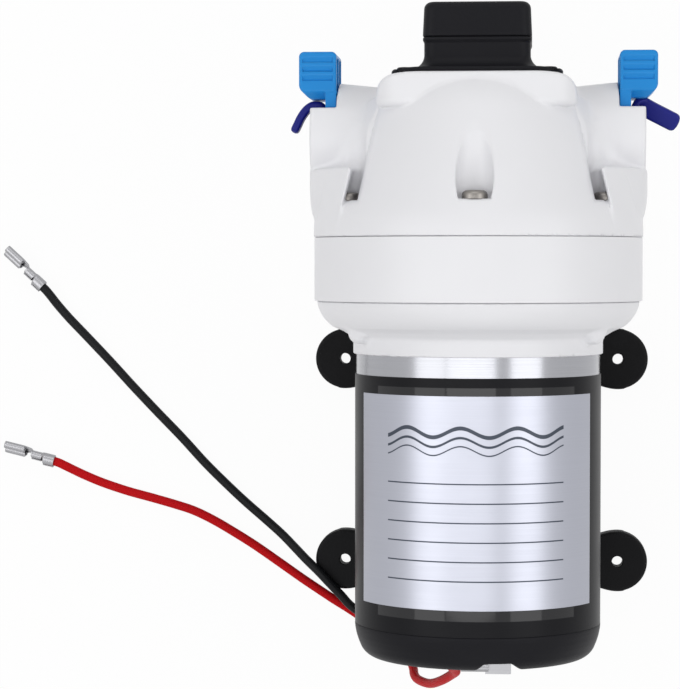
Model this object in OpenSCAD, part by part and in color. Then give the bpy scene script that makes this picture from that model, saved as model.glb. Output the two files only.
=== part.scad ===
// Caravan water pump: a triplex diaphragm pump and its motor, lying on four rubber feet.
// Millimetres. The origin is the centre of the four foot holes, on the mounting plane.
// The pump's axis runs along +Y towards the pressure switch, and +Z points up from the mount.

/* [Feet and base plate] */
// Spacing of the foot holes across the pump
foot_span_x = 91.6; // [88:0.2:98]
// Spacing of the foot holes along the pump
foot_span_y = 68; // [62:0.5:72]
// Diameter of a foot hole
foot_hole_d = 3.6; // [3.2:0.1:5.6]
// Diameter of a rubber foot's round ear
foot_d = 20; // [18:0.5:23]
// Height of a rubber foot
foot_h = 7; // [6:0.25:9]
// Thickness of the base plate's sheet
plate_t = 1.6; // [1.2:0.1:2]
// Half of the angle that the base plate's saddle takes round the motor
saddle_half = 38; // [33:1:42]
// Width of a base plate's tongue, which a foot slides on to
tongue_w = 12; // [9:0.5:13]
// Free height under the pump head
head_clear = 4.3; // [3.5:0.1:10]

/* [Motor] */
// Outer diameter of the motor's can
can_d = 77; // [74:0.5:79]
// Wall of the can
can_wall = 1.8; // [1.4:0.1:2.2]
// Length of the can, with the end inside the collar
can_len = 91; // [88:0.5:100]
// Distance from the foot holes' centre back to the rear cap's seam
rear_set = 47; // [45:0.5:50]
// Bare ring of the can between the wrap and the white collar
ring_len = 6.3; // [4:0.1:8]
// Thickness of the wrap round the can
wrap_t = 0.3; // [0.2:0.05:0.5]
// Thickness of the label on the wrap
label_t = 0.12; // [0.08:0.02:0.2]
// Length of the label along the motor
label_len = 65; // [58:0.5:67]
// Half of the angle that the label takes round the motor
label_half = 64; // [56:1:70]
// Length of the rear cap behind its seam
cap_len = 11.1; // [10.5:0.1:15]
// Diameter of the motor's shaft
shaft_d = 8; // [7:0.2:9]
// Thickness of a magnet
magnet_t = 6.4; // [5:0.1:7]
// Length of a magnet
magnet_len = 50; // [44:1:52]
// Gap between the armature and the magnets
air_gap = 0.8; // [0.5:0.1:1.2]
// Length of the armature's core
core_len = 42; // [38:1:44]
// Slots of the armature's core and bars of the commutator
slot_count = 12; // [10:1:14]

/* [Head housings] */
// Diameter of the pump head
head_d = 103.4; // [101:0.2:108]
// Length of the white collar over the can's end
collar_len = 6.3; // [5:0.1:8]
// Wall of the white collar
collar_wall = 0.9; // [0.7:0.1:1.4]
// Height of the drive housing above the can's end
drive_len = 10.3; // [10:0.1:13]
// Height of the diaphragm housing, the plain middle band
band_len = 20; // [19:0.5:24]
// Height of the front housing
dome_len = 50.2; // [49:0.1:55]
// Slope of the front housing's side against the axis
dome_slope = 22.3; // [21:0.1:23.5]
// Width of the square top under the pressure switch
plateau_x = 61.4; // [59:0.2:64]
// Depth of the square top under the pressure switch
plateau_z = 64; // [62:0.5:66]
// Distance of the housing screws from the head's rim
screw_inset = 6; // [5.8:0.1:6.4]
// Diameter of a housing screw
screw_d = 4; // [3.4:0.1:4.2]
// Diameter of a screw pocket in the front housing
pocket_d = 11; // [9.4:0.2:11.4]
// Height of a screw pocket's floor above the head's seam
pocket_rise = 11.1; // [10.6:0.1:13]

/* [Ports] */
// Height of the port axis above the head's seam
port_rise = 31.3; // [31:0.1:33]
// Diameter of a port's barrel
barrel_d = 33; // [31:0.5:34]
// Distance of a port's outer face from the pump's axis
port_face = 52; // [51.5:0.1:55]
// Diameter of a port's mouth
mouth_d = 20; // [19:0.2:20.6]
// Depth of a port's mouth
mouth_len = 10.2; // [9.8:0.1:11]
// Diameter of the bore that a hose fitting seals in
bore_d = 14; // [12:0.2:14.6]
// Length of that bore
bore_len = 12; // [9:0.5:13]

/* [Clips and transit plugs] */
// Thickness of a slide clip's fork
clip_t = 3.5; // [3:0.1:3.8]
// Distance from a port's outer face to its clip's fork
clip_inset = 4.4; // [4.1:0.05:4.8]
// Width of a clip's fork
clip_w = 21.2; // [20.6:0.2:23]
// Height of a clip's thumb grip
thumb_h = 14.7; // [12:0.1:17]
// How far a thumb grip reaches out from its fork's inner face
thumb_reach = 11.8; // [10.5:0.1:13]
// Thickness of a transit plug's pull strap
strap_t = 2.6; // [2:0.1:2.7]
// Width of a transit plug's pull strap
strap_w = 7; // [6:0.2:7.6]
// Twist of the outlet plug's strap
strap_twist = 58; // [0:1:70]

/* [Pressure switch] */
// Width of the switch's body
switch_w = 33.6; // [32:0.2:36]
// Width of the switch's flange
flange_w = 53; // [51:0.5:56]
// Depth of the switch's flange
flange_z = 46; // [44:0.5:50]
// Thickness of the switch's flange
flange_t = 2.2; // [2:0.1:3]
// Height of the switch's body above the plateau
switch_body_h = 11.8; // [11:0.1:14]
// Height of the switch's cap
switch_cap_h = 10.9; // [10:0.1:13]
// Diameter of the pressure adjuster screw
adjuster_d = 6; // [5:0.2:7]

/* [Pumping drive] */
// Tilt of the wobble plate
tilt = 3; // [2:0.25:3.5]
// Radius of the circle that the three pistons sit on
piston_r0 = 20; // [19:0.25:20.5]
// Diameter of a piston pad under the diaphragm
pad_d = 14.4; // [12:0.2:15]
// Thickness of the diaphragm
dia_t = 2; // [1.8:0.1:2.4]
// Outer diameter of the wobble bearing
bearing_d = 35; // [32:1:37]
// Bore of the wobble bearing
journal_d = 17; // [15:0.5:18]
// Width of the wobble bearing
bearing_w = 10; // [8:0.5:10.5]

/* [Leads] */
// Outer diameter of a lead
lead_d = 3; // [2.4:0.1:3.2]
// Width of a lead's spade terminal
spade_w = 6.8; // [6.6:0.1:7.8]
// Roll of a spade terminal about its lead
spade_roll = 66; // [0:1:75]
// Width of a motor tab
tab_w = 6.3; // [5:0.1:6.5]

/* [Hidden] */
$fn = 72;

white = "#e6e6ea";
black = "#1f2023";
steel = "#b9bcc2";
rubber = "#17181a";
brass = "#c9a24a";
copper = "#b8702e";
grip_blue = "#1e8cd7";
plug_blue = "#1c2382";
red = "#c8242a";

// Clearances: pressed or seated pieces, running fits, sliding fits
seat = 0.05;
run = 0.04;
slip = 0.25;
past = 1;

// Stations along the axis, from the rear to the front
head_r = head_d / 2;
axis_h = head_r + head_clear;
can_r = can_d / 2;
can_in = can_r - can_wall;
cap_seam = -rear_set;
cap_rear = cap_seam - cap_len;
can_front = cap_seam + can_len;
collar_edge = can_front - collar_len;
wrap_front = collar_edge - ring_len;
seam_drive = can_front + drive_len;
seam_head = seam_drive + band_len;
plateau_top = seam_head + dome_len;
port_y = seam_head + port_rise;
pocket_floor = seam_head + pocket_rise;

// Base plate and feet
saddle_in = can_r + seat;
saddle_out = saddle_in + plate_t;
saddle_from = cap_seam + 6;
saddle_to = collar_edge - 0.7;
leg_x = (saddle_out - 0.35 * plate_t) * sin(saddle_half);
leg_top = sqrt(saddle_out * saddle_out - leg_x * leg_x) - 0.25 * plate_t;
flange_reach = 4;
plate_z = (foot_h - plate_t) / 2;
tongue_end = foot_span_x / 2 - foot_hole_d / 2 - 3.9;
neck_w = tongue_w + 4;
foot_reach = foot_span_x / 2 - leg_x - flange_reach - past;
foot_round = 1.2;

// Motor
wrap_in = can_r + seat;
wrap_out = wrap_in + wrap_t;
wrap_gap = saddle_half + 4;
label_rear = wrap_front - 5.4 - label_len;
cap_r = can_r + 0.4;
cap_corner = 5.7;
cap_turn = 24;
dish_r = cap_r - 9.4;
dish_floor = cap_seam - 5.5;
cap_inner = dish_floor + 2.5;
cap_hollow_r = can_in - 2.6;
notch_len = 2.6;
notch_from = 3;
notch_to = 11.2;
notch_flare = 4;
plate_rear = cap_seam + 2.6;
plate_rear_t = 3;
plate_front_t = 4;
ball_r = 11;
ball_w = 7;
ball_boss_r = 13.5;
shaft_r = shaft_d / 2;
magnet_in = can_in - seat - magnet_t;
magnet_half = 62;
arm_r = magnet_in - air_gap;
core_from = -20;
magnet_from = core_from - 4;
core_to = core_from + core_len;
slot_r = 2.5;
slot_r0 = arm_r - 5;
turns_h = 9;
comm_r = 10.5;
card_from = plate_rear + plate_rear_t + 0.1;
card_t = 1.7;
comm_from = card_from + 1.8;
comm_to = core_from - turns_h - 1.2;
brush_w = 5;
brush_h = 7;
brush_len = 9;
brush_coil_r = 1.7;
brush_wire = 0.7;
brush_at = (comm_from + comm_to) / 2;
box_wall = 1;
box_end = can_in - 1.5;
post_r0 = 20;
post_r = 3.6;
cap_screw_r = 1.6;
tab_x = 7;
tab_up = 25.6;
tab_t = 0.8;
tab_rear = cap_rear - 1.2;
barrel_up = 26;
barrel_at = cap_rear + 0.8;
barrel_end = 4.4;

// Head
collar_r = can_r + collar_wall;
drive_step = 0.8;
drive_r = head_r - drive_step;
lip_round = 12;
lip_turn = 55;
lip_draft = 8.5;
belly_r = drive_r - lip_round * cos(lip_draft);
belly_y = seam_drive + lip_round * sin(lip_draft);
lip_r = belly_r + lip_round * cos(lip_turn);
lip_y = belly_y - lip_round * sin(lip_turn);
lobe_r = 3.4;
lobe_r0 = lip_r - 4.2;
lobe_y = lip_y - 1.6;
root_round = 2.2;
drive_floor_t = 3;
shaft_hole_r = ball_r + 1.5;
screw_r0 = head_r - screw_inset;
screw_r = screw_d / 2;
screw_hole_r = screw_r + 0.2;
screw_grip = 4.6;
screw_head_r = 3.9;
screw_head_h = 2.6;
valve_r = screw_r0 - screw_hole_r - 3.2;
cavity_r = valve_r + seat;
clamp_r = valve_r - 7.3;
band_recess = 1.5;
band_lip = 2.8;
dia_from = seam_head - band_recess;
valve_from = dia_from + dia_t;
valve_t = 8.5;
valve_to = valve_from + valve_t;
recess_to = valve_to + 0.2;
seam_edge = 0.3;
dome_round = 22;
dome_rise = 1;
crown_round = 30;
crown_end = 48.5;
crown_from = plateau_top - 11.5;
plateau_corner = 10;
plateau_round = 5;
barrel_r = barrel_d / 2;
ledge_rise = 21.2;
gusset_in = screw_r0 - 5.75;
gusset_foot = gusset_in + 3;
gusset_swell = 1.1;
gusset_base = 5.2;
screw_level = screw_r0 / 2;
slot_in = gusset_in - 3.95;
slot_draft = 10.8;
slot_base = pocket_floor + 0.4;
mouth_r = mouth_d / 2;
mouth_in = port_face - mouth_len;
bore_r = bore_d / 2;
bore_in = mouth_in - bore_len;
passage_r = 3;
passage_y = port_y - bore_r + passage_r + 0.4;
inlet_drop = valve_r - 14;
outlet_drop = 8;
sense_r = 2.5;

// Clips and plugs
fork_out = port_face - clip_inset;
fork_in = fork_out - clip_t;
notch_x = fork_in - slip;
notch_floor = port_y + mouth_r - 1;
fork_half = clip_w / 2;
fork_gap = bore_r + 0.6;
slot_floor = port_y - 7.7;
fork_tip = slot_floor + slip;
thumb_from = notch_floor + strap_t + 0.45;
thumb_to = thumb_from + thumb_h;
thumb_out = fork_in + thumb_reach;
thumb_half = fork_half - 0.3;
thumb_wall = 1.8;
thumb_edge = 1.2;
groove_d = 0.5;
groove_w = 0.9;
groove_pitch = 3;
plug_r = bore_r + 0.2;
plug_in = mouth_in + 0.3;
plug_flange_r = mouth_r - 0.2;
plug_flange_in = fork_out + 0.5;
plug_flange_t = 2.2;
strap_x = plug_flange_in + plug_flange_t / 2;
strap_y = notch_floor + 0.2 + strap_t / 2;
// Each strap's middle line as steps outwards and forwards from the bend over the port's lip
inlet_strap = [
  [0, -5], [0, -3.4], [0.05, -1.9], [0.5, -0.6], [1.7, 0], [3.4, -0.2], [5.2, -1.5], [6.8, -3.7],
  [8.1, -6.3], [9.2, -8.6]
];
outlet_strap = [
  [0, -5], [0, -3.4], [0.05, -1.9], [0.5, -0.6], [1.7, 0], [3.4, -0.3], [5.5, -1.4], [7.9, -2.9],
  [10.4, -4.8], [12.8, -6.8]
];

// Pressure switch
switch_top = plateau_top + switch_body_h + switch_cap_h;
switch_seam = plateau_top + switch_body_h;
switch_half = switch_w / 2;
switch_corner = 3.5;
switch_wall = 2.4;
switch_in = switch_w - 2 * switch_wall;
flange_top = plateau_top + flange_t;
skirt_out = 2.2;
skirt_rise = 1.1;
cell_r = 11;
cell_t = 1.2;
head_plunger_r = 8.5;
plunger_t = 2;
plunger_from = plateau_top + cell_t + 0.05;
plunger_to = plunger_from + plunger_t;
stem_r = 1.8;
stem_h = 5;
adjuster_r = adjuster_d / 2;
adjuster_from = switch_top - 6;
adjuster_to = switch_top - 0.8;
spring_wire = 0.8;
spring_r = stem_r + 1.2;
micro_size = [5, 14, 8];
micro_x = head_plunger_r + 1.8 - micro_size[0];
micro_gap = 1.4;
switch_screw_x = flange_w / 2 - 4.4;
switch_screw_z = flange_z / 2 - 4.4;
switch_screw_r = 1.5;
switch_screw_grip = 8;
switch_screw_sink = 1.4;
seal_r0 = 13.4;
seal_wire = 0.8;
seal_half = seal_wire + 0.3;

// Pumping drive, along the tilted axis from the diaphragm's centre
pivot_y = dia_from + dia_t / 2;
pad_to = -dia_t / 2;
web_to = -7;
web_t = 3.4;
race_to = web_to - web_t - 0.1;
race_from = race_to - bearing_w;
journal_r = journal_d / 2;
journal_to = race_to - 0.2;
cup_wall = 3.5;
cup_r = bearing_d / 2 + seat;
pad_r = pad_d / 2;
disc_r = pad_r - 0.7;
disc_t = 1.2;
piston_screw_r = 1.5;
chamber_r = pad_r + 2.3;
chamber_h = 4.7;
chamber_top = valve_from + chamber_h;
dia_pad_r = chamber_r - 0.3;
umbrella_r = 3.4;
umbrella_r0 = piston_r0 + 4.6;
umbrella_stem = 1.2;
bowl_r = 13.4;
bowl_h = 3;
flap_r = bowl_r - 1;
flap_stem = 2;
valve_seal_r0 = bowl_r + 2.4;
valve_seal_wire = 0.9;

// Leads: points along the middle of each, from the motor's tab to the far terminal
lead_r = lead_d / 2;
crimp_r = lead_r + 0.1;
crimp_wall = 0.5;
red_route = [
  [0, -57.3, 82], [-3, -57.3, 82], [-4.8, -57.3, 82], [-6.5, -57.7, 80.7], [-7.4, -58.6, 77.6],
  [-7, -60, 73], [-6.4, -61.6, 68], [-7.5, -63.4, 62], [-11.4, -67.5, 50], [-15.8, -71, 36],
  [-20, -71.9, 24], [-21.8, -71.4, 17], [-22.5, -70.1, 11], [-24, -67.3, 6.6], [-27, -63.6, 3.4],
  [-31.3, -60.2, 1.9], [-37.5, -56.4, 1.6], [-44.5, -51.8, 1.6], [-49.7, -48.6, 1.6],
  [-54.8, -45.3, 1.6], [-61, -41.2, 1.6], [-69.2, -35.5, 1.6], [-77.4, -29.9, 1.6], [-85.7, -24.8, 1.6],
  [-91.9, -21.3, 1.6], [-98.1, -18.4, 1.6], [-104.3, -16.4, 1.6], [-112.5, -14.1, 1.6],
  [-120.8, -11.9, 1.6], [-129.1, -9.2, 1.6], [-135.3, -6.7, 1.7], [-139.4, -4.7, 2.4],
  [-142.4, -3.1, 3.4], [-144.93, -1.92, 3.8], [-148.43, -1.06, 3.8]
];
black_route = [
  [0, -57.3, 30], [3, -57.3, 30], [4.8, -57.3, 30], [6.8, -58.3, 30], [8.6, -61, 28.4],
  [9.2, -63.6, 23.5], [6, -65.4, 16], [-1.2, -66.3, 9], [-11.4, -64.6, 3.9], [-21.5, -60.9, 2.2],
  [-30, -57, 2.9], [-37, -54.6, 4.6], [-43.5, -50.2, 6.4], [-47.1, -46.1, 8], [-50.8, -42.1, 8.8],
  [-54.6, -38.1, 8.8], [-59.1, -34, 7.4], [-62.7, -30.7, 5.2], [-67.7, -26.1, 2.8], [-73.3, -21.3, 1.8],
  [-79.5, -16, 1.6], [-85.6, -10.4, 1.6], [-93.9, -2.3, 1.6], [-102.1, 6.6, 1.6], [-110.4, 15.1, 1.6],
  [-118.7, 23.8, 1.6], [-126.9, 32.7, 1.6], [-135.2, 41.4, 1.6], [-140.7, 47.1, 1.7],
  [-144.7, 51.8, 2.4], [-147.2, 55.2, 3.4], [-148.98, 57.34, 3.8], [-151.64, 59.77, 3.8]
];
red_tip = [-163, 2.5, 0];
black_tip = [-162.7, 69.9, 0];
spade_len = 17.8;
spade_grip = 7;
spade_crimp = 3.6;
spade_axis = crimp_r + crimp_wall + 0.2;
lead_sides = 8;
route_steps = 2;

// Points of an arc of radius r round [x, y] from angle a to angle b, in n steps
function arc(x, y, r, a, b, n) = [
  for (i = [0 : n]) let (t = a + (b - a) * i / n) [x + r * cos(t), y + r * sin(t)]
];
function unit(v) = v / norm(v);
// A smooth curve through the points p, with n steps between neighbours
function smooth(p, n) = [
  for (i = [0 : len(p) - 2], k = [0 : n - 1]) let (
    a = p[max(i - 1, 0)],
    b = p[i],
    c = p[i + 1],
    d = p[min(i + 2, len(p) - 1)],
    t = k / n
  ) b + ((c - a) * t + (2 * a - 5 * b + 4 * c - d) * t * t + (3 * b - a - 3 * c + d) * t * t * t) / 2,
  p[len(p) - 1]
];
// Directions along the points p
function directions(p) = [
  for (i = [0 : len(p) - 1]) unit(p[min(i + 1, len(p) - 1)] - p[max(i - 1, 0)])
];
function square_to(u, t) = unit(u - (u * t) * t);
// Side directions carried along the directions t without turning
function sides_along(t, u0) = [
  for (i = 0, u = square_to(u0, t[0]); i < len(t); u = square_to(u, t[min(i + 1, len(t) - 1)]), i = i + 1) u
];
function turned(q, a) = [q[0] * cos(a) - q[1] * sin(a), q[0] * sin(a) + q[1] * cos(a)];
function last(p) = p[len(p) - 1];

// A closed solid with the outline carried along the points p, turned by the angles in turns
module sweep(p, outline, up, turns) {
  t = directions(p);
  u = sides_along(t, up);
  n = len(outline);
  m = len(p);
  points = [
    for (i = [0 : m - 1], k = [0 : n - 1]) let (
      w = cross(t[i], u[i]),
      q = turned(outline[k], turns[i])
    ) p[i] + q[0] * u[i] + q[1] * w
  ];
  walls = [
    for (i = [0 : m - 2], k = [0 : n - 1], half = [0, 1]) let (
      a = i * n + k,
      b = i * n + (k + 1) % n
    ) half == 0 ? [a, a + n, b + n] : [a, b + n, b]
  ];
  ends = [[for (k = [0 : n - 1]) k], [for (k = [n - 1 : -1 : 0]) (m - 1) * n + k]];
  polyhedron(points = points, faces = concat(ends, walls));
}

// Turns a shape drawn along z so that it lies along the pump's axis, with its -y side up
module pump_frame() {
  translate([0, 0, axis_h]) rotate([-90, 0, 0]) children();
}

// The tilted frame of the wobble plate, with its origin at the diaphragm's centre
module tilted_frame() {
  pump_frame() translate([0, 0, pivot_y]) rotate([tilt, 0, 0]) children();
}

module rod(r, from, to) {
  translate([0, 0, from]) cylinder(r = r, h = to - from);
}

module tube(r_out, r_in, from, to) {
  difference() {
    rod(r_out, from, to);
    rod(r_in, from - past, to + past);
  }
}

// A rod along x
module cross_rod(r, from, to) {
  translate([from, 0, 0]) rotate([0, 90, 0]) cylinder(r = r, h = to - from);
}

// Copies on a circle of radius r, the first one at the angle start from the top
module round_copies(count, r, start = 0) {
  for (k = [0 : count - 1]) rotate([0, 0, start + 360 * k / count]) translate([0, -r, 0]) children();
}

// A box between two corners
module block(a, b) {
  translate(a) cube(b - a);
}

module rounded(w, d, r) {
  square([w - 2 * r, d], center = true);
  square([w, d - 2 * r], center = true);
  for (x = [-1, 1], y = [-1, 1]) translate([x * (w / 2 - r), y * (d / 2 - r)]) circle(r = r);
}

module rounded_block(w, d, r, from, to) {
  translate([0, 0, from]) linear_extrude(to - from) rounded(w, d, r);
}

// A wedge below the axis, from -half to +half degrees
module wedge_below(half, reach, from, to) {
  translate([0, 0, from]) linear_extrude(to - from)
    polygon([[0, 0], [reach * sin(half), reach * cos(half)], [0, 2 * reach],
      [-reach * sin(half), reach * cos(half)]]);
}

module both_sides() {
  children();
  mirror([1, 0, 0]) children();
}

// Screws with a domed head at the station at, pointing towards -z
module pan_screw(r, head_r, head_h, at, length) {
  rod(r, at - length, at);
  translate([0, 0, at]) rotate_extrude() polygon(concat(
    [[0, 0], [head_r, 0]],
    arc(head_r - head_h * 0.6, head_h * 0.4, head_h * 0.6, 0, 90, 5),
    [[0, head_h]]
  ));
}

module coil(r, wire, from, to, turns) {
  steps = 10 * turns;
  line = [
    for (i = [0 : steps]) let (a = 36 * i)
      [r * cos(a), r * sin(a), from + wire / 2 + (to - from - wire) * i / steps]
  ];
  sweep(line, arc(0, 0, wire / 2, 0, 300, 5), [1, 0, 0], [for (q = line) 0]);
}

module lead(route) {
  line = smooth(route, route_steps);
  outline = arc(0, 0, lead_r, 0, 360 - 360 / lead_sides, lead_sides - 1);
  sweep(line, outline, [0, 0, 1], [for (q = line) 0]);
}

// Feet and base plate

// Section of the saddle and its two legs, seen along the axis
module saddle_section() {
  intersection() {
    difference() {
      circle(r = saddle_out);
      circle(r = saddle_in);
    }
    polygon([[0, 0], [2 * can_r * sin(saddle_half), 2 * can_r * cos(saddle_half)],
      [-2 * can_r * sin(saddle_half), 2 * can_r * cos(saddle_half)]]);
  }
  both_sides() translate([leg_x - plate_t, leg_top]) square([plate_t, axis_h - plate_z - 0.2 - leg_top]);
}

// Plan of one flange with the two tongues that carry the feet
module flange_plan() {
  half = (foot_span_y + tongue_w) / 2;
  translate([leg_x - plate_t / 2, -half]) square([flange_reach + plate_t / 2, 2 * half]);
  for (end = [-1, 1]) translate([leg_x, end * foot_span_y / 2 - tongue_w / 2])
    square([tongue_end - leg_x, tongue_w]);
}

module base_plate() color(black) {
  pump_frame() translate([0, 0, saddle_from]) linear_extrude(saddle_to - saddle_from) saddle_section();
  translate([0, 0, plate_z]) linear_extrude(plate_t) both_sides() flange_plan();
}

// A rubber foot with its ear outwards along +x, and a slot for the base plate's tongue
module foot() {
  difference() {
    union() {
      rotate_extrude() polygon(concat(
        [[0, 0], [foot_d / 2 - 0.4, 0], [foot_d / 2, 0.4]],
        arc(foot_d / 2 - foot_round, foot_h - foot_round, foot_round, 0, 90, 5),
        [[0, foot_h]]
      ));
      block([-foot_reach, -neck_w / 2, 0], [0, neck_w / 2, foot_h]);
    }
    rod(foot_hole_d / 2, -past, foot_h + past);
    block([-foot_reach - past, -tongue_w / 2 - slip, plate_z - seat],
      [tongue_end - foot_span_x / 2 + slip, tongue_w / 2 + slip, plate_z + plate_t + seat]);
  }
}

module foot_right(end) color(rubber) translate([foot_span_x / 2, end * foot_span_y / 2, 0]) foot();
module foot_left(end) color(rubber)
  translate([-foot_span_x / 2, end * foot_span_y / 2, 0]) rotate([0, 0, 180]) foot();

module foot_front_left() foot_left(1);
module foot_front_right() foot_right(1);
module foot_rear_left() foot_left(-1);
module foot_rear_right() foot_right(-1);

// Motor

module motor_can() color(steel) pump_frame() tube(can_r, can_in, cap_seam, can_front);

module motor_wrap() color(black) pump_frame() difference() {
  tube(wrap_out, wrap_in, cap_seam + 0.15, wrap_front);
  wedge_below(wrap_gap, 2 * can_r, cap_seam, wrap_front + past);
}

module rating_label() color("#c9ccd2") pump_frame() rotate([0, 0, 180]) intersection() {
  tube(wrap_out + 0.02 + label_t, wrap_out + 0.02, label_rear, label_rear + label_len);
  wedge_below(label_half, 2 * can_r, label_rear - past, label_rear + label_len + past);
}

module magnets() color("#3a3b40") pump_frame() for (side = [-1, 1]) rotate([0, 0, side * 90])
  intersection() {
    tube(can_in - seat, magnet_in, magnet_from, magnet_from + magnet_len);
    wedge_below(magnet_half, 2 * can_r, magnet_from - 1, magnet_from + magnet_len + 1);
  }

module ball_bearing(r_in, r_out, from, to) {
  groove = (r_out - r_in) * 0.22;
  depth = 0.4;
  difference() {
    tube(r_out, r_in, from, to);
    tube(r_out - groove, r_in + groove, from - past, from + depth);
    tube(r_out - groove, r_in + groove, to - depth, to + past);
  }
}

module motor_front_plate() color(steel) pump_frame() difference() {
  union() {
    rod(can_in - seat, can_front - plate_front_t, can_front);
    rod(ball_boss_r, can_front - ball_w - 1.5, can_front);
  }
  rod(ball_r + seat, can_front - ball_w, can_front + past);
  rod(shaft_r + 2.5, can_front - ball_w - 3, can_front);
}

module front_bearing() color(steel) pump_frame()
  ball_bearing(shaft_r + run, ball_r, can_front - ball_w + seat, can_front - seat);

module motor_rear_plate() color(steel) pump_frame() difference() {
  union() {
    rod(can_in - seat, plate_rear, plate_rear + plate_rear_t);
    rod(ball_boss_r, plate_rear + plate_rear_t - ball_w - 1, plate_rear + plate_rear_t);
    round_copies(2, post_r0, 90) rod(post_r, cap_inner, plate_rear + plate_rear_t);
  }
  rod(ball_r + seat, plate_rear + plate_rear_t - ball_w, plate_rear + plate_rear_t + past);
  rod(shaft_r + 2.5, cap_seam - 5, plate_rear);
  round_copies(2, post_r0, 90) rod(cap_screw_r + seat, cap_inner - past, plate_rear + plate_rear_t + past);
}

module rear_bearing() color(steel) pump_frame()
  ball_bearing(shaft_r + run, ball_r, plate_rear + plate_rear_t - ball_w + seat, plate_rear + plate_rear_t);

// The moulded rear cap: a spigot in the can, a rounded rim and a dish for the two motor tabs
module rear_cap() color(black) pump_frame() difference() {
  rotate_extrude() polygon(concat(
    [[0, cap_inner], [cap_hollow_r, cap_inner], [cap_hollow_r, cap_seam + 2.5]],
    [[can_in - seat, cap_seam + 2.5], [can_in - seat, cap_seam], [cap_r, cap_seam]],
    [[cap_r - 0.15, cap_seam - 2], [cap_r - 0.55, cap_seam - 4], [cap_r - 1.15, cap_seam - 5.9]],
    arc(cap_r - 1.9 - cap_corner * cos(cap_turn), cap_rear + cap_corner, cap_corner, -cap_turn, -90, 7),
    [[dish_r, cap_rear], [dish_r, dish_floor], [0, dish_floor]]
  ));
  for (turn = [0, 180]) rotate([0, 0, turn])
    translate([0, -dish_r + 4, 0]) rotate([90, 0, 0]) linear_extrude(cap_r) polygon([
      [notch_from - notch_flare, cap_rear - past], [notch_from, cap_rear + notch_len],
      [notch_to, cap_rear + notch_len], [notch_to + notch_flare, cap_rear - past]
    ]);
  round_copies(2, post_r0, 90) rod(cap_screw_r + 0.2, dish_floor - past, cap_inner + past);
  for (turn = [0, 180]) rotate([0, 0, turn])
    block([tab_x - tab_w / 2 - seat, -tab_up - tab_t / 2 - seat, dish_floor - past],
      [tab_x + tab_w / 2 + seat, -tab_up + tab_t / 2 + seat, cap_inner + past]);
}

module cap_screws() color(steel) pump_frame() round_copies(2, post_r0, 90)
  translate([0, 0, dish_floor]) mirror([0, 0, 1])
    pan_screw(cap_screw_r, 3.2, 2.2, 0, plate_rear - dish_floor + plate_rear_t - 0.3);

// Two flat tabs that stand in the cap's dish, one above and one below the axis
module motor_tabs() color(brass) pump_frame() for (turn = [0, 180]) rotate([0, 0, turn])
  block([tab_x - tab_w / 2, -tab_up - tab_t / 2, tab_rear],
    [tab_x + tab_w / 2, -tab_up + tab_t / 2, cap_inner + 1]);

module brush_box(grow, from, to) {
  block([-brush_w / 2 - grow, -to, brush_at - brush_h / 2 - grow],
    [brush_w / 2 + grow, -from, brush_at + brush_h / 2 + grow]);
}

module brush_card() color("#5a4632") pump_frame() difference() {
  union() {
    tube(can_in - seat - 0.3, comm_r + 1.5, card_from, card_from + card_t);
    round_copies(2, 0, 90) brush_box(slip + box_wall, comm_r + 1.5, box_end);
  }
  round_copies(2, 0, 90) brush_box(slip, comm_r, box_end - box_wall);
}

module brushes() color("#2b2b2e") pump_frame() round_copies(2, 0, 90)
  brush_box(0, comm_r + 0.1, comm_r + 0.1 + brush_len);

module brush_springs() color(steel) pump_frame() for (side = [-1, 1]) translate([0, 0, brush_at])
  rotate([0, side * 90, 0]) coil(brush_coil_r, brush_wire, comm_r + 0.15 + brush_len, box_end - box_wall - 0.05, 6);

module armature_shaft() color(steel) pump_frame() difference() {
  rod(shaft_r, plate_rear + plate_rear_t - ball_w + 0.5, pivot_y + journal_to - past);
  rod(0.8, pivot_y + journal_to - 4, pivot_y + journal_to);
}

module armature_core() color("#77797f") pump_frame() difference() {
  tube(arm_r, shaft_r + seat, core_from, core_to);
  round_copies(slot_count, slot_r0) rod(slot_r, core_from - past, core_to + past);
  round_copies(slot_count, slot_r0) block([-1, -2 * slot_r - 2, core_from - past], [1, 0, core_to + past]);
}

module end_turns(from) {
  r_in = shaft_r + 4;
  r_out = slot_r0 + slot_r - 0.2;
  round = 2.5;
  translate([0, 0, from]) rotate_extrude() polygon(concat(
    arc(r_in + round, round, round, 270, 180, 4),
    arc(r_in + round, turns_h - round, round, 180, 90, 4),
    arc(r_out - round, turns_h - round, round, 90, 0, 4),
    arc(r_out - round, round, round, 0, -90, 4)
  ));
}

module armature_winding() color(copper) pump_frame() {
  end_turns(core_from - turns_h - seat);
  end_turns(core_to + seat);
  round_copies(slot_count, slot_r0) rod(slot_r - 0.2, core_from - 1, core_to + 1);
}

module commutator() color(copper) pump_frame() difference() {
  tube(comm_r, shaft_r + seat, comm_from, comm_to);
  round_copies(slot_count, comm_r) block([-0.25, -past, comm_from - past], [0.25, 1.2, comm_to - 1.5]);
}

// Head housings

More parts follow.
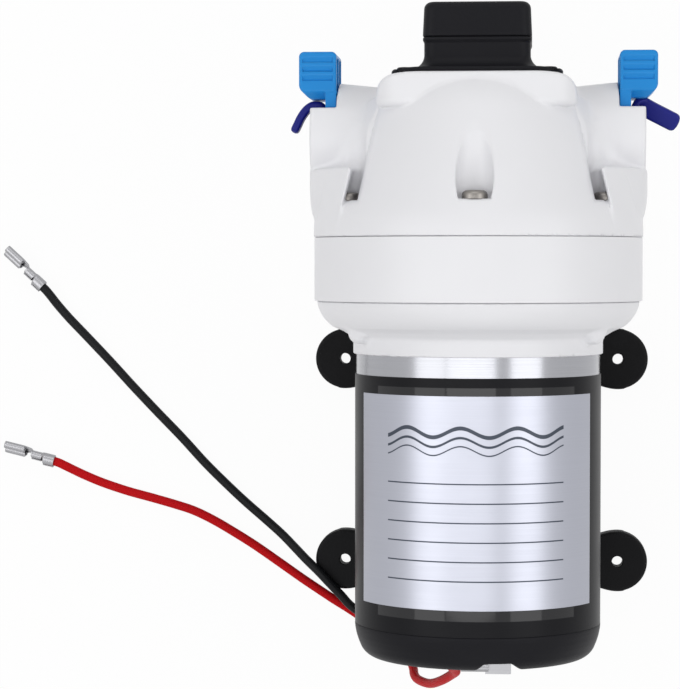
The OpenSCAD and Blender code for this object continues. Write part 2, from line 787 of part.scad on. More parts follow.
// The tapered drive housing, with a collar over the can and soft lobes over four of the screws
module drive_housing() color(white) pump_frame() difference() {
  union() {
    rotate_extrude() polygon(concat(
      [[0, collar_edge], [collar_r, collar_edge]],
      arc(collar_r + root_round, lip_y - root_round - 2.4, root_round, 180, 110, 5),
      [[(collar_r + lip_r) / 2, lip_y - 1.4], [lip_r, lip_y]],
      arc(belly_r, belly_y, lip_round, -lip_turn + 6, -lip_draft - 3, 8),
      [
        [drive_r - seam_edge * tan(lip_draft), seam_drive - seam_edge], [drive_r - seam_edge, seam_drive],
        [0, seam_drive]
      ]
    ));
    for (turn = [60, 120, 240, 300]) rotate([0, 0, turn]) translate([0, -lobe_r0, 0]) {
      rod(lobe_r, lobe_y, seam_drive - 1);
      translate([0, 0, lobe_y]) sphere(r = lobe_r);
    }
  }
  rod(can_r + seat, collar_edge - past, can_front);
  rod(shaft_hole_r, can_front - past, can_front + drive_floor_t + past);
  rod(cavity_r, can_front + drive_floor_t, seam_drive + past);
  round_copies(6, screw_r0) rod(screw_r + seat, seam_drive - screw_grip - 0.4, seam_drive + past);
}

// The plain middle band, with a lip that the diaphragm is clamped on
module diaphragm_housing() color(white) pump_frame() difference() {
  rotate_extrude() polygon([
    [clamp_r, dia_from - band_lip], [cavity_r, dia_from - band_lip - 2], [cavity_r, seam_drive],
    [head_r - seam_edge, seam_drive], [head_r, seam_drive + seam_edge],
    [head_r, seam_head - seam_edge], [head_r - seam_edge, seam_head],
    [cavity_r, seam_head], [cavity_r, dia_from], [clamp_r, dia_from]
  ]);
  round_copies(6, screw_r0) rod(screw_hole_r, seam_drive - past, seam_head + past);
}

// Outline of the dome: a round shoulder, a straight side and a round crown
function dome_outline() = let (
  x0 = head_r - dome_round,
  y0 = seam_head + dome_rise,
  x1 = x0 + dome_round * cos(dome_slope),
  y1 = y0 + dome_round * sin(dome_slope),
  x2 = x1 - (crown_from - y1) * tan(dome_slope)
) concat(
  [[0, seam_head], [head_r - seam_edge, seam_head], [head_r, seam_head + seam_edge]],
  arc(x0, y0, dome_round, 0, dome_slope, 6),
  arc(x2 - crown_round * cos(dome_slope), crown_from - crown_round * sin(dome_slope),
    crown_round, dome_slope, crown_end, 8),
  [[0, crown_from + crown_round * (sin(crown_end) - sin(dome_slope))]]
);

// The square top, with rounded upright corners and a rounded upper edge
module plateau() {
  from = port_y - 8;
  height = plateau_top - from;
  intersection() {
    rounded_block(plateau_x, plateau_z, plateau_corner, from, plateau_top);
    translate([0, plateau_z, from]) rotate([90, 0, 0]) linear_extrude(2 * plateau_z)
      upright(plateau_x, height);
    translate([-plateau_x, 0, from]) rotate([90, 0, 90]) linear_extrude(2 * plateau_x)
      upright(plateau_z, height);
  }
}

// A flat shape of the width w that stands on the x axis, with its two upper corners rounded
module upright(w, h) {
  translate([-w / 2, 0]) square([w, h - plateau_round]);
  translate([-w / 2 + plateau_round, 0]) square([w - 2 * plateau_round, h]);
  for (x = [-1, 1]) translate([x * (w / 2 - plateau_round), h - plateau_round]) circle(r = plateau_round);
}

// The buttress below a port's barrel, which carries the head's round wall up to a ledge
module port_gusset() {
  top = seam_head + ledge_rise;
  base = seam_head + seam_edge;
  wall_r = head_r - seam_edge;
  swell_r = port_face + gusset_swell;
  belly = seam_head + gusset_base;
  intersection() {
    translate([0, head_r, 0]) rotate([90, 0, 0]) linear_extrude(2 * head_r) polygon([
      [gusset_foot, base], [swell_r, base], [swell_r, top], [gusset_in, top]
    ]);
    rotate_extrude() polygon([
      [0, seam_head], [wall_r, seam_head], [wall_r, belly], [swell_r - 0.8, belly + 2],
      [swell_r - 0.2, belly + 5.5], [swell_r, belly + 8.7], [swell_r, top], [0, top]
    ]);
  }
}

// The slots beside the square top, which leave the side screws in view
module screw_slots() both_sides() for (up = [0, 1]) mirror([0, up, 0])
  translate([0, head_r, 0]) rotate([90, 0, 0]) linear_extrude(head_r - screw_level) polygon([
    [slot_in, slot_base], [head_r + past, slot_base], [head_r + past, plateau_top],
    [slot_in - (plateau_top - slot_base) * tan(slot_draft), plateau_top]
  ]);

// Everything that is cut out of one port
module port_cuts(drop) {
  translate([0, 0, port_y]) {
    cross_rod(mouth_r, mouth_in, port_face + past);
    cross_rod(bore_r, bore_in, mouth_in + past);
  }
  translate([0, 0, passage_y]) cross_rod(passage_r, drop, bore_in + past);
  translate([drop, 0, 0]) rod(passage_r, recess_to - past, passage_y);
  block([notch_x, -barrel_r - 6, notch_floor], [port_face + past, barrel_r + 6, plateau_top + past]);
  block([notch_x, -fork_half - slip, slot_floor], [fork_out + slip, fork_half + slip, notch_floor + past]);
}

module front_housing() color(white) pump_frame() difference() {
  union() {
    difference() {
      rotate_extrude() polygon(dome_outline());
      screw_slots();
    }
    plateau();
    both_sides() translate([0, 0, port_y]) cross_rod(barrel_r, 18, port_face);
    both_sides() port_gusset();
  }
  mirror([1, 0, 0]) port_cuts(inlet_drop);
  port_cuts(outlet_drop);
  rod(cavity_r, seam_head - past, recess_to);
  rod(sense_r, passage_y, plateau_top + past);
  translate([0, 0, passage_y]) cross_rod(passage_r, 0, outlet_drop);
  round_copies(6, screw_r0) {
    rod(screw_hole_r, seam_head - past, pocket_floor + past);
    rod(pocket_d / 2, pocket_floor, plateau_top);
  }
  tube(seal_r0 + seal_half, seal_r0 - seal_half, plateau_top - 2 * seal_wire - 0.1, plateau_top + past);
  switch_screw_places() rod(switch_screw_r + seat, plateau_top - switch_screw_grip - 1, plateau_top + past);
}

module housing_screws() color(steel) pump_frame() round_copies(6, screw_r0)
  pan_screw(screw_r, screw_head_r, screw_head_h, pocket_floor, pocket_floor - seam_drive + screw_grip);

// Diaphragm and valves

// The rubber diaphragm: a clamped sheet, and three pads that follow the wobble plate
module diaphragm() color(rubber) difference() {
  union() {
    pump_frame() difference() {
      rod(valve_r, dia_from, dia_from + dia_t);
      round_copies(3, piston_r0) rod(dia_pad_r - 0.4, dia_from - past, dia_from + dia_t + past);
    }
    tilted_frame() round_copies(3, piston_r0) rod(dia_pad_r, -dia_t / 2, dia_t / 2);
  }
  tilted_frame() round_copies(3, piston_r0) rod(piston_screw_r + seat, -dia_t, dia_t);
}

module valve_plate() color("#d8d4c4") pump_frame() difference() {
  rod(valve_r, valve_from, valve_to);
  rod(bowl_r, valve_to - bowl_h, valve_to + past);
  rod(flap_stem + seat, valve_from - past, valve_to);
  tube(valve_seal_r0 + 1.2, valve_seal_r0 - 1.2, valve_to - 2 * valve_seal_wire, valve_to + past);
  round_copies(3, piston_r0) rod(chamber_r, valve_from - past, chamber_top);
  for (turn = [-9, 9]) round_copies(3, bowl_r - 1.6, turn) rod(0.9, chamber_top - past, valve_to);
  round_copies(3, umbrella_r0) {
    rod(umbrella_stem + seat, chamber_top - past, valve_to + past);
    round_copies(3, 2.4, 60) rod(0.8, chamber_top - past, valve_to + past);
  }
}

module inlet_valves() color(rubber) pump_frame() round_copies(3, umbrella_r0) {
  rod(umbrella_r, chamber_top - 0.9, chamber_top - 0.02);
  rod(umbrella_stem, chamber_top - 0.5, valve_to - 1);
}

module outlet_valve() color(rubber) pump_frame() {
  rod(flap_r, valve_to - bowl_h + 0.02, valve_to - bowl_h + 1);
  rod(flap_stem, chamber_top - 1, valve_to - bowl_h + 2.4);
}

module valve_seal() color(rubber) pump_frame() translate([0, 0, valve_to - valve_seal_wire + 0.1])
  rotate_extrude() translate([valve_seal_r0, 0]) circle(r = valve_seal_wire);

// Wobble drive

// The cam on the shaft, with the inclined journal that carries the wobble bearing
module cam() color(steel) difference() {
  union() {
    pump_frame() rod(shaft_r + 3, can_front + 1.5, pivot_y + race_from);
    tilted_frame() rod(journal_r, race_from - 1.5, journal_to);
    tilted_frame() rod(journal_r + 2, race_from - 2, race_from - 0.2);
  }
  pump_frame() rod(shaft_r + seat, can_front, pivot_y);
}

module wobble_bearing() color(steel) tilted_frame()
  ball_bearing(journal_r + run, bearing_d / 2, race_from, race_to);

module wobble_plate() color("#c4a15a") tilted_frame() difference() {
  union() {
    rod(cup_r + cup_wall, race_from, web_to);
    round_copies(3, piston_r0) rod(pad_r, web_to - web_t, pad_to);
  }
  rod(cup_r, race_from - past, web_to - web_t);
  rod(journal_r - 2.5, web_to - web_t - past, web_to + past);
  round_copies(3, piston_r0) rod(piston_screw_r + seat, web_to - 1.4, past);
}

module piston_discs() color(steel) tilted_frame() difference() {
  round_copies(3, piston_r0) rod(disc_r, dia_t / 2, dia_t / 2 + disc_t);
  round_copies(3, piston_r0) rod(piston_screw_r + seat, 0, dia_t / 2 + disc_t + past);
}

module piston_screws() color(steel) tilted_frame() round_copies(3, piston_r0)
  rod(piston_screw_r, web_to - 1, dia_t / 2 + disc_t + 0.4);

// Pressure switch

module switch_screw_places() {
  for (x = [-1, 1], y = [-1, 1]) translate([x * switch_screw_x, y * switch_screw_z, 0]) children();
}

module slice(w, d, r, at) {
  translate([0, 0, at]) linear_extrude(0.02) rounded(w, d, r, $fn = 32);
}

// The switch's base: a flange with a flared skirt and a hollow body
module switch_base() color(black) pump_frame() difference() {
  union() {
    rounded_block(flange_w, flange_z, 7, plateau_top, flange_top);
    rounded_block(switch_w, switch_w, switch_corner, plateau_top, switch_seam);
    hull() {
      slice(flange_w - 3, flange_z - 2, 7, flange_top - 0.03);
      slice(switch_w + 2 * skirt_out, switch_w + 1.4 * skirt_out, 5, flange_top + skirt_rise);
    }
    hull() {
      slice(switch_w + 2 * skirt_out, switch_w + 1.4 * skirt_out, 5, flange_top + skirt_rise - 0.01);
      slice(switch_w, switch_w, switch_corner, flange_top + 3 * skirt_rise);
    }
  }
  rod(cell_r + seat, plateau_top - past, plateau_top + cell_t);
  rod(head_plunger_r + slip, plateau_top, switch_seam);
  rounded_block(switch_in, switch_in, 2, plunger_to + 0.6, switch_seam + past);
  switch_screw_places() {
    rod(switch_screw_r + 0.2, plateau_top - past, switch_seam);
    rod(3, flange_top - switch_screw_sink, switch_seam);
  }
}

// The switch's cap, with a rounded top edge and a threaded seat for the adjuster
module switch_cap() color(black) pump_frame() difference() {
  union() {
    intersection() {
      rounded_block(switch_w + 0.2, switch_w + 0.2, switch_corner, switch_seam, switch_top);
      both_ways() translate([0, switch_w, switch_seam]) rotate([90, 0, 0]) linear_extrude(2 * switch_w)
        cap_side();
    }
  }
  difference() {
    rounded_block(switch_in, switch_in, 2, switch_seam - past, switch_top - switch_wall);
    rod(adjuster_r + 2.4, adjuster_from, switch_top);
  }
  rod(adjuster_r + run, adjuster_from - past, switch_top + past);
}

// The common part of a shape and the same shape turned a quarter round the axis
module both_ways() {
  intersection() {
    children();
    rotate([0, 0, 90]) children();
  }
}

module cap_side() {
  r = 3;
  w = switch_w + 0.2;
  translate([-w / 2, 0]) square([w, switch_cap_h - r]);
  translate([-w / 2 + r, 0]) square([w - 2 * r, switch_cap_h]);
  for (x = [-1, 1]) translate([x * (w / 2 - r), switch_cap_h - r]) circle(r = r);
}

module switch_diaphragm() color(rubber) pump_frame() rod(cell_r, plateau_top + 0.02, plateau_top + cell_t);

module switch_seal() color(rubber) pump_frame() translate([0, 0, plateau_top - seal_wire - 0.05])
  rotate_extrude() translate([seal_r0, 0]) circle(r = seal_wire);

module switch_plunger() color("#e0ddd0") pump_frame() {
  rod(head_plunger_r, plunger_from, plunger_to);
  rod(stem_r, plunger_to, plunger_to + stem_h);
}

module switch_spring() color(steel) pump_frame()
  coil(spring_r, spring_wire, plunger_to + 0.02, adjuster_from - 0.02, 6);

// The microswitch on the inner wall of the cap, with its button over the plunger's edge
module microswitch() color("#7c1f1f") pump_frame() difference() {
  union() {
    block([micro_x, -micro_size[1] / 2, plunger_to + micro_gap + 0.8],
      [switch_half - switch_wall - seat, micro_size[1] / 2, plunger_to + micro_gap + 0.8 + micro_size[2]]);
    translate([micro_x + 1.6, 0, 0]) rod(1, plunger_to + micro_gap, plunger_to + micro_gap + 1);
  }
  for (y = [-1, 1]) translate([micro_x - past, y * 4.5, plunger_to + micro_gap + 2.8])
    cross_rod(0.9, 0, switch_w);
}

module pressure_adjuster() color(steel) pump_frame() difference() {
  rod(adjuster_r, adjuster_from, adjuster_to);
  translate([0, 0, adjuster_to - 2.5]) cylinder(r = adjuster_r * 0.55, h = 2.5 + past, $fn = 6);
}

module switch_screws() color(steel) pump_frame() switch_screw_places()
  pan_screw(switch_screw_r, 2.7, switch_screw_sink - 0.1, flange_top - switch_screw_sink,
    flange_t - switch_screw_sink + switch_screw_grip);

// Clips and transit plugs

// A slide clip: a fork that straddles the port and a hollow thumb grip
module slide_clip() difference() {
  union() {
    block([fork_in, -fork_half, fork_tip], [fork_out, fork_half, thumb_from + past]);
    block([fork_in, -thumb_half, thumb_from], [thumb_out - thumb_edge, thumb_half, thumb_to]);
    block([fork_in, -thumb_half, thumb_from], [thumb_out, thumb_half, thumb_to - thumb_edge]);
    translate([thumb_out - thumb_edge, thumb_half, thumb_to - thumb_edge]) rotate([90, 0, 0])
      cylinder(r = thumb_edge, h = 2 * thumb_half);
  }
  block([fork_in - past, -fork_gap, fork_tip - past], [fork_out + past, fork_gap, port_y]);
  translate([0, 0, port_y]) cross_rod(fork_gap, fork_in - past, fork_out + past);
  for (side = [0, 1]) mirror([0, side, 0])
    block([fork_in - past, 0.9, thumb_from + thumb_wall], [thumb_out - thumb_wall, thumb_half - thumb_wall,
      thumb_to - thumb_wall]);
  translate([thumb_out, 0, thumb_from]) rotate([0, 40, 0])
    cube([5.2, 2 * fork_half + past, 9], center = true);
  middle = (thumb_from + thumb_to) / 2 + 1;
  for (side = [-1, 1], k = [-1 : 1])
    translate([(fork_in + thumb_out) / 2, side * thumb_half, middle + k * groove_pitch])
      cube([thumb_reach - 2.4, 2 * groove_d, groove_w], center = true);
}

module inlet_clip() color(grip_blue) pump_frame() mirror([1, 0, 0]) slide_clip();
module outlet_clip() color(grip_blue) pump_frame() slide_clip();

// A transit plug with its pull strap over the port's lip
module transit_plug(strap, twist) {
  line = smooth([for (q = strap) [strap_x + q[0], 0, strap_y + q[1]]], 2);
  turns = [for (i = [0 : len(line) - 1]) twist * pow(max(0, (i - 9) / (len(line) - 10)), 1.4)];
  w = strap_w / 2;
  t = strap_t / 2;
  outline = [
    [-t, -w + t], [-t * 0.4, -w], [t * 0.4, -w], [t, -w + t],
    [t, w - t], [t * 0.4, w], [-t * 0.4, w], [-t, w - t]
  ];
  translate([0, 0, port_y]) {
    cross_rod(plug_r, plug_in, plug_flange_in + past);
    cross_rod(plug_flange_r, plug_flange_in, plug_flange_in + plug_flange_t);
  }
  sweep(line, outline, [-1, 0, 0], turns);
}

module inlet_plug() color(plug_blue) pump_frame() mirror([1, 0, 0]) transit_plug(inlet_strap, 0);
module outlet_plug() color(plug_blue) pump_frame() transit_plug(outlet_strap, strap_twist);

// Leads and their terminals

// A flag connector on a motor tab, with its wire barrel towards -x
module flag_connector() {
  half = tab_w / 2 + 0.8;
  body_t = 1.4;
  rear = tab_rear - 0.6;
  front = dish_floor - 2;
  difference() {
    union() {
      block([tab_x - half, -tab_up - body_t, rear], [tab_x + half, -tab_up + body_t, front]);
      translate([0, -barrel_up, barrel_at]) cross_rod(crimp_r + crimp_wall, -barrel_end, tab_x - half + past);
    }
    block([tab_x - tab_w / 2 - seat, -tab_up - tab_t / 2 - seat, tab_rear - 0.1],
      [tab_x + tab_w / 2 + seat, -tab_up + tab_t / 2 + seat, dish_floor]);
    translate([0, -barrel_up, barrel_at]) cross_rod(crimp_r, -barrel_end - past, 0.6);
  }
}

module red_tab_connector() color(steel) pump_frame() flag_connector();
module black_tab_connector() color(steel) pump_frame() rotate([0, 0, 180]) flag_connector();

// A female spade terminal along x: its tip at the origin, its crimp barrel towards -x
module spade_terminal(height) {
  curl = 1.1;
  crimp_out = crimp_r + crimp_wall;
  half = spade_w / 2;
  block([-spade_grip, -half + curl, 0.1], [0, half - curl, 0.8]);
  for (side = [-1, 1]) difference() {
    translate([0, side * (half - curl), 0.1 + curl]) cross_rod(curl, -spade_grip, 0);
    translate([0, side * (half - curl - 0.5), 0.1 + curl + 0.3])
      block([-spade_grip - past, -0.5, -0.5], [past, 0.5, 0.5]);
  }
  block([-spade_grip - 2.6, -1.6, 0.1], [-spade_grip + 0.4, 1.6, 0.9]);
  difference() {
    union() {
      block([-spade_grip - 6.4, -1.5, 0.1], [-spade_grip - 2.4, 1.5, 1.4]);
      translate([0, 0, height]) cross_rod(1.3, -spade_grip - 6.4, -spade_grip - 2.4);
    }
    translate([0, 0, height]) cross_rod(0.7, -spade_grip - 7, -spade_grip - 2);
  }
  difference() {
    translate([0, 0, height]) cross_rod(crimp_out, -spade_len, -spade_len + spade_crimp);
    translate([0, 0, height]) cross_rod(crimp_r, -spade_len - past, -spade_len + spade_crimp - 0.4);
  }
  block([-spade_len + 0.5, -1.3, 0.1], [-spade_grip - 2.4, 1.3, height - crimp_r - 0.1]);
}

module terminal_at(tip, route) {
  end = last(route);
  translate([tip[0], tip[1], end[2]]) rotate([0, 0, atan2(tip[1] - end[1], tip[0] - end[0])])
    rotate([-spade_roll, 0, 0]) translate([0, 0, -spade_axis]) spade_terminal(spade_axis);
}

module red_lead() color(red) lead(red_route);
module black_lead() color(black) lead(black_route);
module red_lead_terminal() color(steel) terminal_at(red_tip, red_route);
module black_lead_terminal() color(steel) terminal_at(black_tip, black_route);

base_plate();
foot_front_left();
foot_front_right();
foot_rear_left();
foot_rear_right();
motor_can();
motor_wrap();
rating_label();
magnets();
motor_front_plate();
front_bearing();
motor_rear_plate();
rear_bearing();
brush_card();
brushes();
brush_springs();
rear_cap();
cap_screws();
motor_tabs();
armature_shaft();
armature_core();
armature_winding();
commutator();
drive_housing();
diaphragm_housing();
front_housing();
housing_screws();
diaphragm();
valve_plate();
inlet_valves();
outlet_valve();
valve_seal();
cam();
wobble_bearing();
wobble_plate();
piston_discs();
piston_screws();
switch_base();
switch_cap();
switch_diaphragm();
switch_seal();
switch_plunger();
switch_spring();
microswitch();
pressure_adjuster();
switch_screws();
inlet_clip();
outlet_clip();
inlet_plug();
outlet_plug();
red_tab_connector();
black_tab_connector();
red_lead();
black_lead();
red_lead_terminal();
black_lead_terminal();
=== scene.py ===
"""Finished surfaces of a caravan water pump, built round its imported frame.

Lengths inside the shape functions are millimetres in the pump's own axes: x across the pump,
s along its axis towards the pressure switch, and h up from that axis.
"""

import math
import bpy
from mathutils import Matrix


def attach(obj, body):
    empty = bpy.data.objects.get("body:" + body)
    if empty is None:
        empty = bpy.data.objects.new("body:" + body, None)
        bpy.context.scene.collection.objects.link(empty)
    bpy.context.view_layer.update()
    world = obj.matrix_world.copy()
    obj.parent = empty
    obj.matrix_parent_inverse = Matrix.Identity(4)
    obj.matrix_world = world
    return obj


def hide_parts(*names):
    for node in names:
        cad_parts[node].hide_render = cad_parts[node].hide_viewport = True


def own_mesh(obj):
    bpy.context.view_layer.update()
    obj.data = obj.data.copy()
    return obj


bl_info = {
    "name": "Caravan Water Pump",
    "version": (1, 0, 0),
    "blender": (4, 5, 0),
    "location": "View3D > Sidebar > Pump",
    "description": "Builds the finished surfaces of a caravan water pump round its frame",
    "category": "Add Mesh",
}

import bpy
import numpy as np
from bpy.props import FloatProperty, FloatVectorProperty, PointerProperty
from mathutils import Matrix, Vector

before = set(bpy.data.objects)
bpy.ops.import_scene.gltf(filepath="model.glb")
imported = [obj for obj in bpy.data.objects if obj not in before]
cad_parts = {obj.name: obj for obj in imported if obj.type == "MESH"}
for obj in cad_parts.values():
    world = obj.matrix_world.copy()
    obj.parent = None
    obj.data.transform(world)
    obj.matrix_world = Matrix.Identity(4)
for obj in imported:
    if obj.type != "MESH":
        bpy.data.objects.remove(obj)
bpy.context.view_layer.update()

MM = 0.001
AXIS_H = 56.0

# Sizes shared with the part's source
HEAD_R = 51.7
DRIVE_R = 50.9
SEAM_DRIVE = 54.3
SEAM_HEAD = 74.3
PLATEAU = 124.5
PORT_Y = 105.6
PORT_FACE = 52.0
LEDGE = 95.5
GUSSET_IN = 39.95
SLOT_IN = 36.0
SLOT_DRAFT = math.radians(10.8)
CAVITY_R = 40.35
SCREW_R0 = 45.7
POCKET_R = 5.5
POCKET_FLOOR = 85.4
CAN_R = 38.5
COLLAR_EDGE = 37.7
CAP_SEAM = -47.0
CAP_REAR = -58.1
WRAP_FRONT = 31.4
NOTCH_X = 43.85
NOTCH_FLOOR = 114.6
FORK = (44.1, 47.6)
THUMB = (117.65, 132.35)
THUMB_OUT = 55.9
FLANGE_TOP = PLATEAU + 2.2
SWITCH_SEAM = 136.3
SWITCH_TOP = 147.2
SPRING = (127.77, 141.18)
SPRING_R = 3.0
SPRING_TURNS = 6
WIRE_R = 0.4
PLUNGER_HOLE_R = 8.75
SWITCH_SCREW = (22.1, 18.6)
SWITCH_SCREW_SEAT = FLANGE_TOP - 1.4
DISH_R = 29.5
DISH_FLOOR = -52.5
CAP_SCREW_X = 20.0
FOOT_X = 45.8
FOOT_Y = 34.0
FORK_HALF = 10.6
THUMB_HALF = 10.3
LEAD_R = 1.5
SPADE_AXIS = 2.3
SPADE_ROLL = math.radians(66)
SPADE_T = 0.45

# Radius, depth and rim rounding of a port's mouth and of the bore behind it
PORT_BORES = ((10.0, 10.2, 0.35), (7.0, 22.2, 0.3))

# Inner and outer radius, and half the angle in degrees, of the films round the motor
WRAP_R = (38.55, 38.85)
WRAP_HALF = 138
LABEL_R = (38.87, 38.99)
LABEL_HALF = 64
LABEL_ENDS = (-39.0, 26.0)

# Radius, and place along the port, of a transit plug's outline
PLUG_OUTLINE = [(0, 42.1), (7.2, 42.1), (7.2, 48.1), (9.8, 48.1), (9.8, 50.3), (0, 50.3)]
PLUG_SIDES = 72

# Corners of a square with half side 1
SQUARE = np.array([(-1, -1), (1, -1), (1, 1), (-1, 1)])

# Half thickness and half width of a pull strap, and the root of its middle line in the mouth
STRAP_HALF = (1.3, 2.9)
STRAP_ROOT = (49.2, 116.1)

# Camera, floor and lamps, in metres and watts
CAMERA_AT = (0.01755, 0.0668, 0.8496)
CAMERA_AIM = (-0.04376, 0.04034, 0.056)
LAMP_AIM = (0, 0.03, 0.056)
LAMPS = (
    ("key", (-0.09, -0.08, 1.15), (0.24, 0.9), 1.5),
    ("left", (-0.65, 0.05, 0.75), (0.9, 0.5), 2.2),
    ("right", (0.69, 0.05, 0.71), (0.9, 0.52), 2.4),
    ("front", (0.0, -0.85, 0.7), (0.4, 0.9), 1.0),
    ("rear", (0.0, 0.93, 0.75), (0.4, 0.9), 1.4),
)
WORLD_LEVEL = 0.44
FLOOR_Z = -0.0005
FLOOR_HALF = 2

# Middle lines of the leads, from the motor's tab to the far terminal, as in the part's source
RED_ROUTE = [
    (0, -57.3, 82), (-3, -57.3, 82), (-4.8, -57.3, 82), (-6.5, -57.7, 80.7), (-7.4, -58.6, 77.6),
    (-7, -60, 73), (-6.4, -61.6, 68), (-7.5, -63.4, 62), (-11.4, -67.5, 50), (-15.8, -71, 36),
    (-20, -71.9, 24), (-21.8, -71.4, 17), (-22.5, -70.1, 11), (-24, -67.3, 6.6), (-27, -63.6, 3.4),
    (-31.3, -60.2, 1.9), (-37.5, -56.4, 1.6), (-44.5, -51.8, 1.6), (-49.7, -48.6, 1.6),
    (-54.8, -45.3, 1.6), (-61, -41.2, 1.6), (-69.2, -35.5, 1.6), (-77.4, -29.9, 1.6),
    (-85.7, -24.8, 1.6), (-91.9, -21.3, 1.6), (-98.1, -18.4, 1.6), (-104.3, -16.4, 1.6),
    (-112.5, -14.1, 1.6), (-120.8, -11.9, 1.6), (-129.1, -9.2, 1.6), (-135.3, -6.7, 1.7),
    (-139.4, -4.7, 2.4), (-142.4, -3.1, 3.4), (-144.93, -1.92, 3.8), (-148.43, -1.06, 3.8),
]
BLACK_ROUTE = [
    (0, -57.3, 30), (3, -57.3, 30), (4.8, -57.3, 30), (6.8, -58.3, 30), (8.6, -61, 28.4),
    (9.2, -63.6, 23.5), (6, -65.4, 16), (-1.2, -66.3, 9), (-11.4, -64.6, 3.9), (-21.5, -60.9, 2.2),
    (-30, -57, 2.9), (-37, -54.6, 4.6), (-43.5, -50.2, 6.4), (-47.1, -46.1, 8), (-50.8, -42.1, 8.8),
    (-54.6, -38.1, 8.8), (-59.1, -34, 7.4), (-62.7, -30.7, 5.2), (-67.7, -26.1, 2.8),
    (-73.3, -21.3, 1.8), (-79.5, -16, 1.6), (-85.6, -10.4, 1.6), (-93.9, -2.3, 1.6),
    (-102.1, 6.6, 1.6), (-110.4, 15.1, 1.6), (-118.7, 23.8, 1.6), (-126.9, 32.7, 1.6),
    (-135.2, 41.4, 1.6), (-140.7, 47.1, 1.7), (-144.7, 51.8, 2.4), (-147.2, 55.2, 3.4),
    (-148.98, 57.34, 3.8), (-151.64, 59.77, 3.8),
]
RED_TIP = (-163, 2.5)
BLACK_TIP = (-162.7, 69.9)


def srgb(r, g, b):
    """Linear colour of a display colour given as three numbers from 0 to 255."""
    c = np.array([r, g, b]) / 255
    return tuple(np.where(c <= 0.04045, c / 12.92, ((c + 0.055) / 1.055) ** 2.4))


def size_property(name, words, default, low, high):
    """A size in millimetres with a name, a description and limits."""
    return FloatProperty(name=name, description=words + ", in millimetres",
                         default=default, min=low, max=high)


class PumpSizes(bpy.types.PropertyGroup):
    head_step: size_property("Head step", "Grid step of the moulded head's surface", 0.7, 0.4, 2.0)
    detail_step: size_property("Detail step", "Grid step of the small mouldings", 0.4, 0.25, 1.0)
    drive_step: size_property("Drive step", "Grid step of the drive housing's surface", 0.58, 0.4, 2.0)
    plate_step: size_property("Plate step", "Grid step of the rear cap and base plate", 0.55, 0.4, 2.0)
    clip_step: size_property("Clip step", "Grid step of the slide clips", 0.3, 0.25, 1.0)
    seam_round: size_property("Seam round", "Rounding of the head's parting edges", 0.38, 0.1, 1.5)
    pocket_round: size_property("Pocket round", "Rounding of the screw pockets' rims", 0.75, 0.2, 2.0)
    port_blend: size_property("Port blend", "Fillet between a port's barrel and the dome", 3.5, 0.5, 6.0)
    lens: FloatProperty(
        name="Lens", description="Focal length of the camera", default=130.87, unit="CAMERA")


def colour_property(name, words, rgb):
    """A colour with a name and a description, from a display colour of 0 to 255."""
    return FloatVectorProperty(name=name, description=words, subtype="COLOR", size=3,
                               min=0.0, max=1.0, default=srgb(*rgb))


class PumpColours(bpy.types.PropertyGroup):
    head: colour_property("Head", "White plastic of the pump head", (236, 236, 239))
    shell: colour_property("Shell", "Black plastic of the cap and switch", (27, 27, 31))
    rubber: colour_property("Rubber", "Rubber of the feet", (18, 18, 20))
    film: colour_property("Wrap", "Film round the motor", (25, 25, 28))
    label: colour_property("Label", "Silver label on the wrap", (174, 176, 186))
    print_ink: colour_property("Label print", "Print on the label", (52, 60, 74))
    can: colour_property("Can", "Bare steel of the motor's can", (168, 169, 174))
    steel: colour_property("Steel", "Bare and plated steel", (196, 197, 201))
    tin: colour_property("Terminals", "Tinned sheet of the terminals", (165, 165, 168))
    screw: colour_property("Housing screws", "Grey steel of the housing screws", (140, 136, 132))
    brass: colour_property("Brass", "Brass of the tabs", (206, 172, 98))
    copper: colour_property("Copper", "Copper of the winding", (190, 116, 62))
    clip: colour_property("Clip", "Slide clips", (28, 138, 214))
    plug: colour_property("Plug", "Transit plugs", (27, 33, 128))
    red_wire: colour_property("Red lead", "Insulation of the red lead", (198, 26, 31))
    black_wire: colour_property("Black lead", "Insulation of the black lead", (26, 27, 29))
    paint: colour_property("Base plate", "Coating of the base plate", (30, 30, 32))
    valve: colour_property("Valve", "Plastic of the valves", (214, 208, 190))


# Fields: negative inside a shape, positive outside, about equal to the distance in millimetres

def join(a, b, r):
    """Union of two fields, with a circular fillet of radius r where they meet."""
    return np.maximum(r, np.minimum(a, b)) - np.hypot(np.maximum(r - a, 0), np.maximum(r - b, 0))


def common(a, b, r):
    """Common part of two fields, with the edge between them rounded to the radius r."""
    return np.minimum(-r, np.maximum(a, b)) + np.hypot(np.maximum(r + a, 0), np.maximum(r + b, 0))


def cut(a, b, r):
    """The field a without the field b, with the rim rounded to the radius r."""
    return common(a, -b, r)


def within(value, low, high):
    """Field of a slab: negative between low and high."""
    return np.maximum(low - value, value - high)


def rounded_plan(u, v, half_u, half_v, corner):
    """Field of a flat rectangle with round corners: distance to its core, less the corner radius."""
    p = np.abs(u) - (half_u - corner)
    q = np.abs(v) - (half_v - corner)
    return np.hypot(np.maximum(p, 0), np.maximum(q, 0)) + np.minimum(np.maximum(p, q), 0) - corner


def arc(x, y, r, start, end, n):
    """Points of a circle's arc of radius r round (x, y), between two angles in degrees."""
    t = np.radians(np.linspace(start, end, n))
    return np.column_stack([x + r * np.cos(t), y + r * np.sin(t)])


def turned_field(r, s, outline):
    """Field of a turned shape: the radius less the outline's radius at s, scaled by the slope."""
    radius = np.interp(s, outline[:, 1], outline[:, 0])
    slope = np.gradient(outline[:, 0], outline[:, 1])
    return (r - radius) / np.sqrt(1 + np.interp(s, outline[:, 1], slope) ** 2)


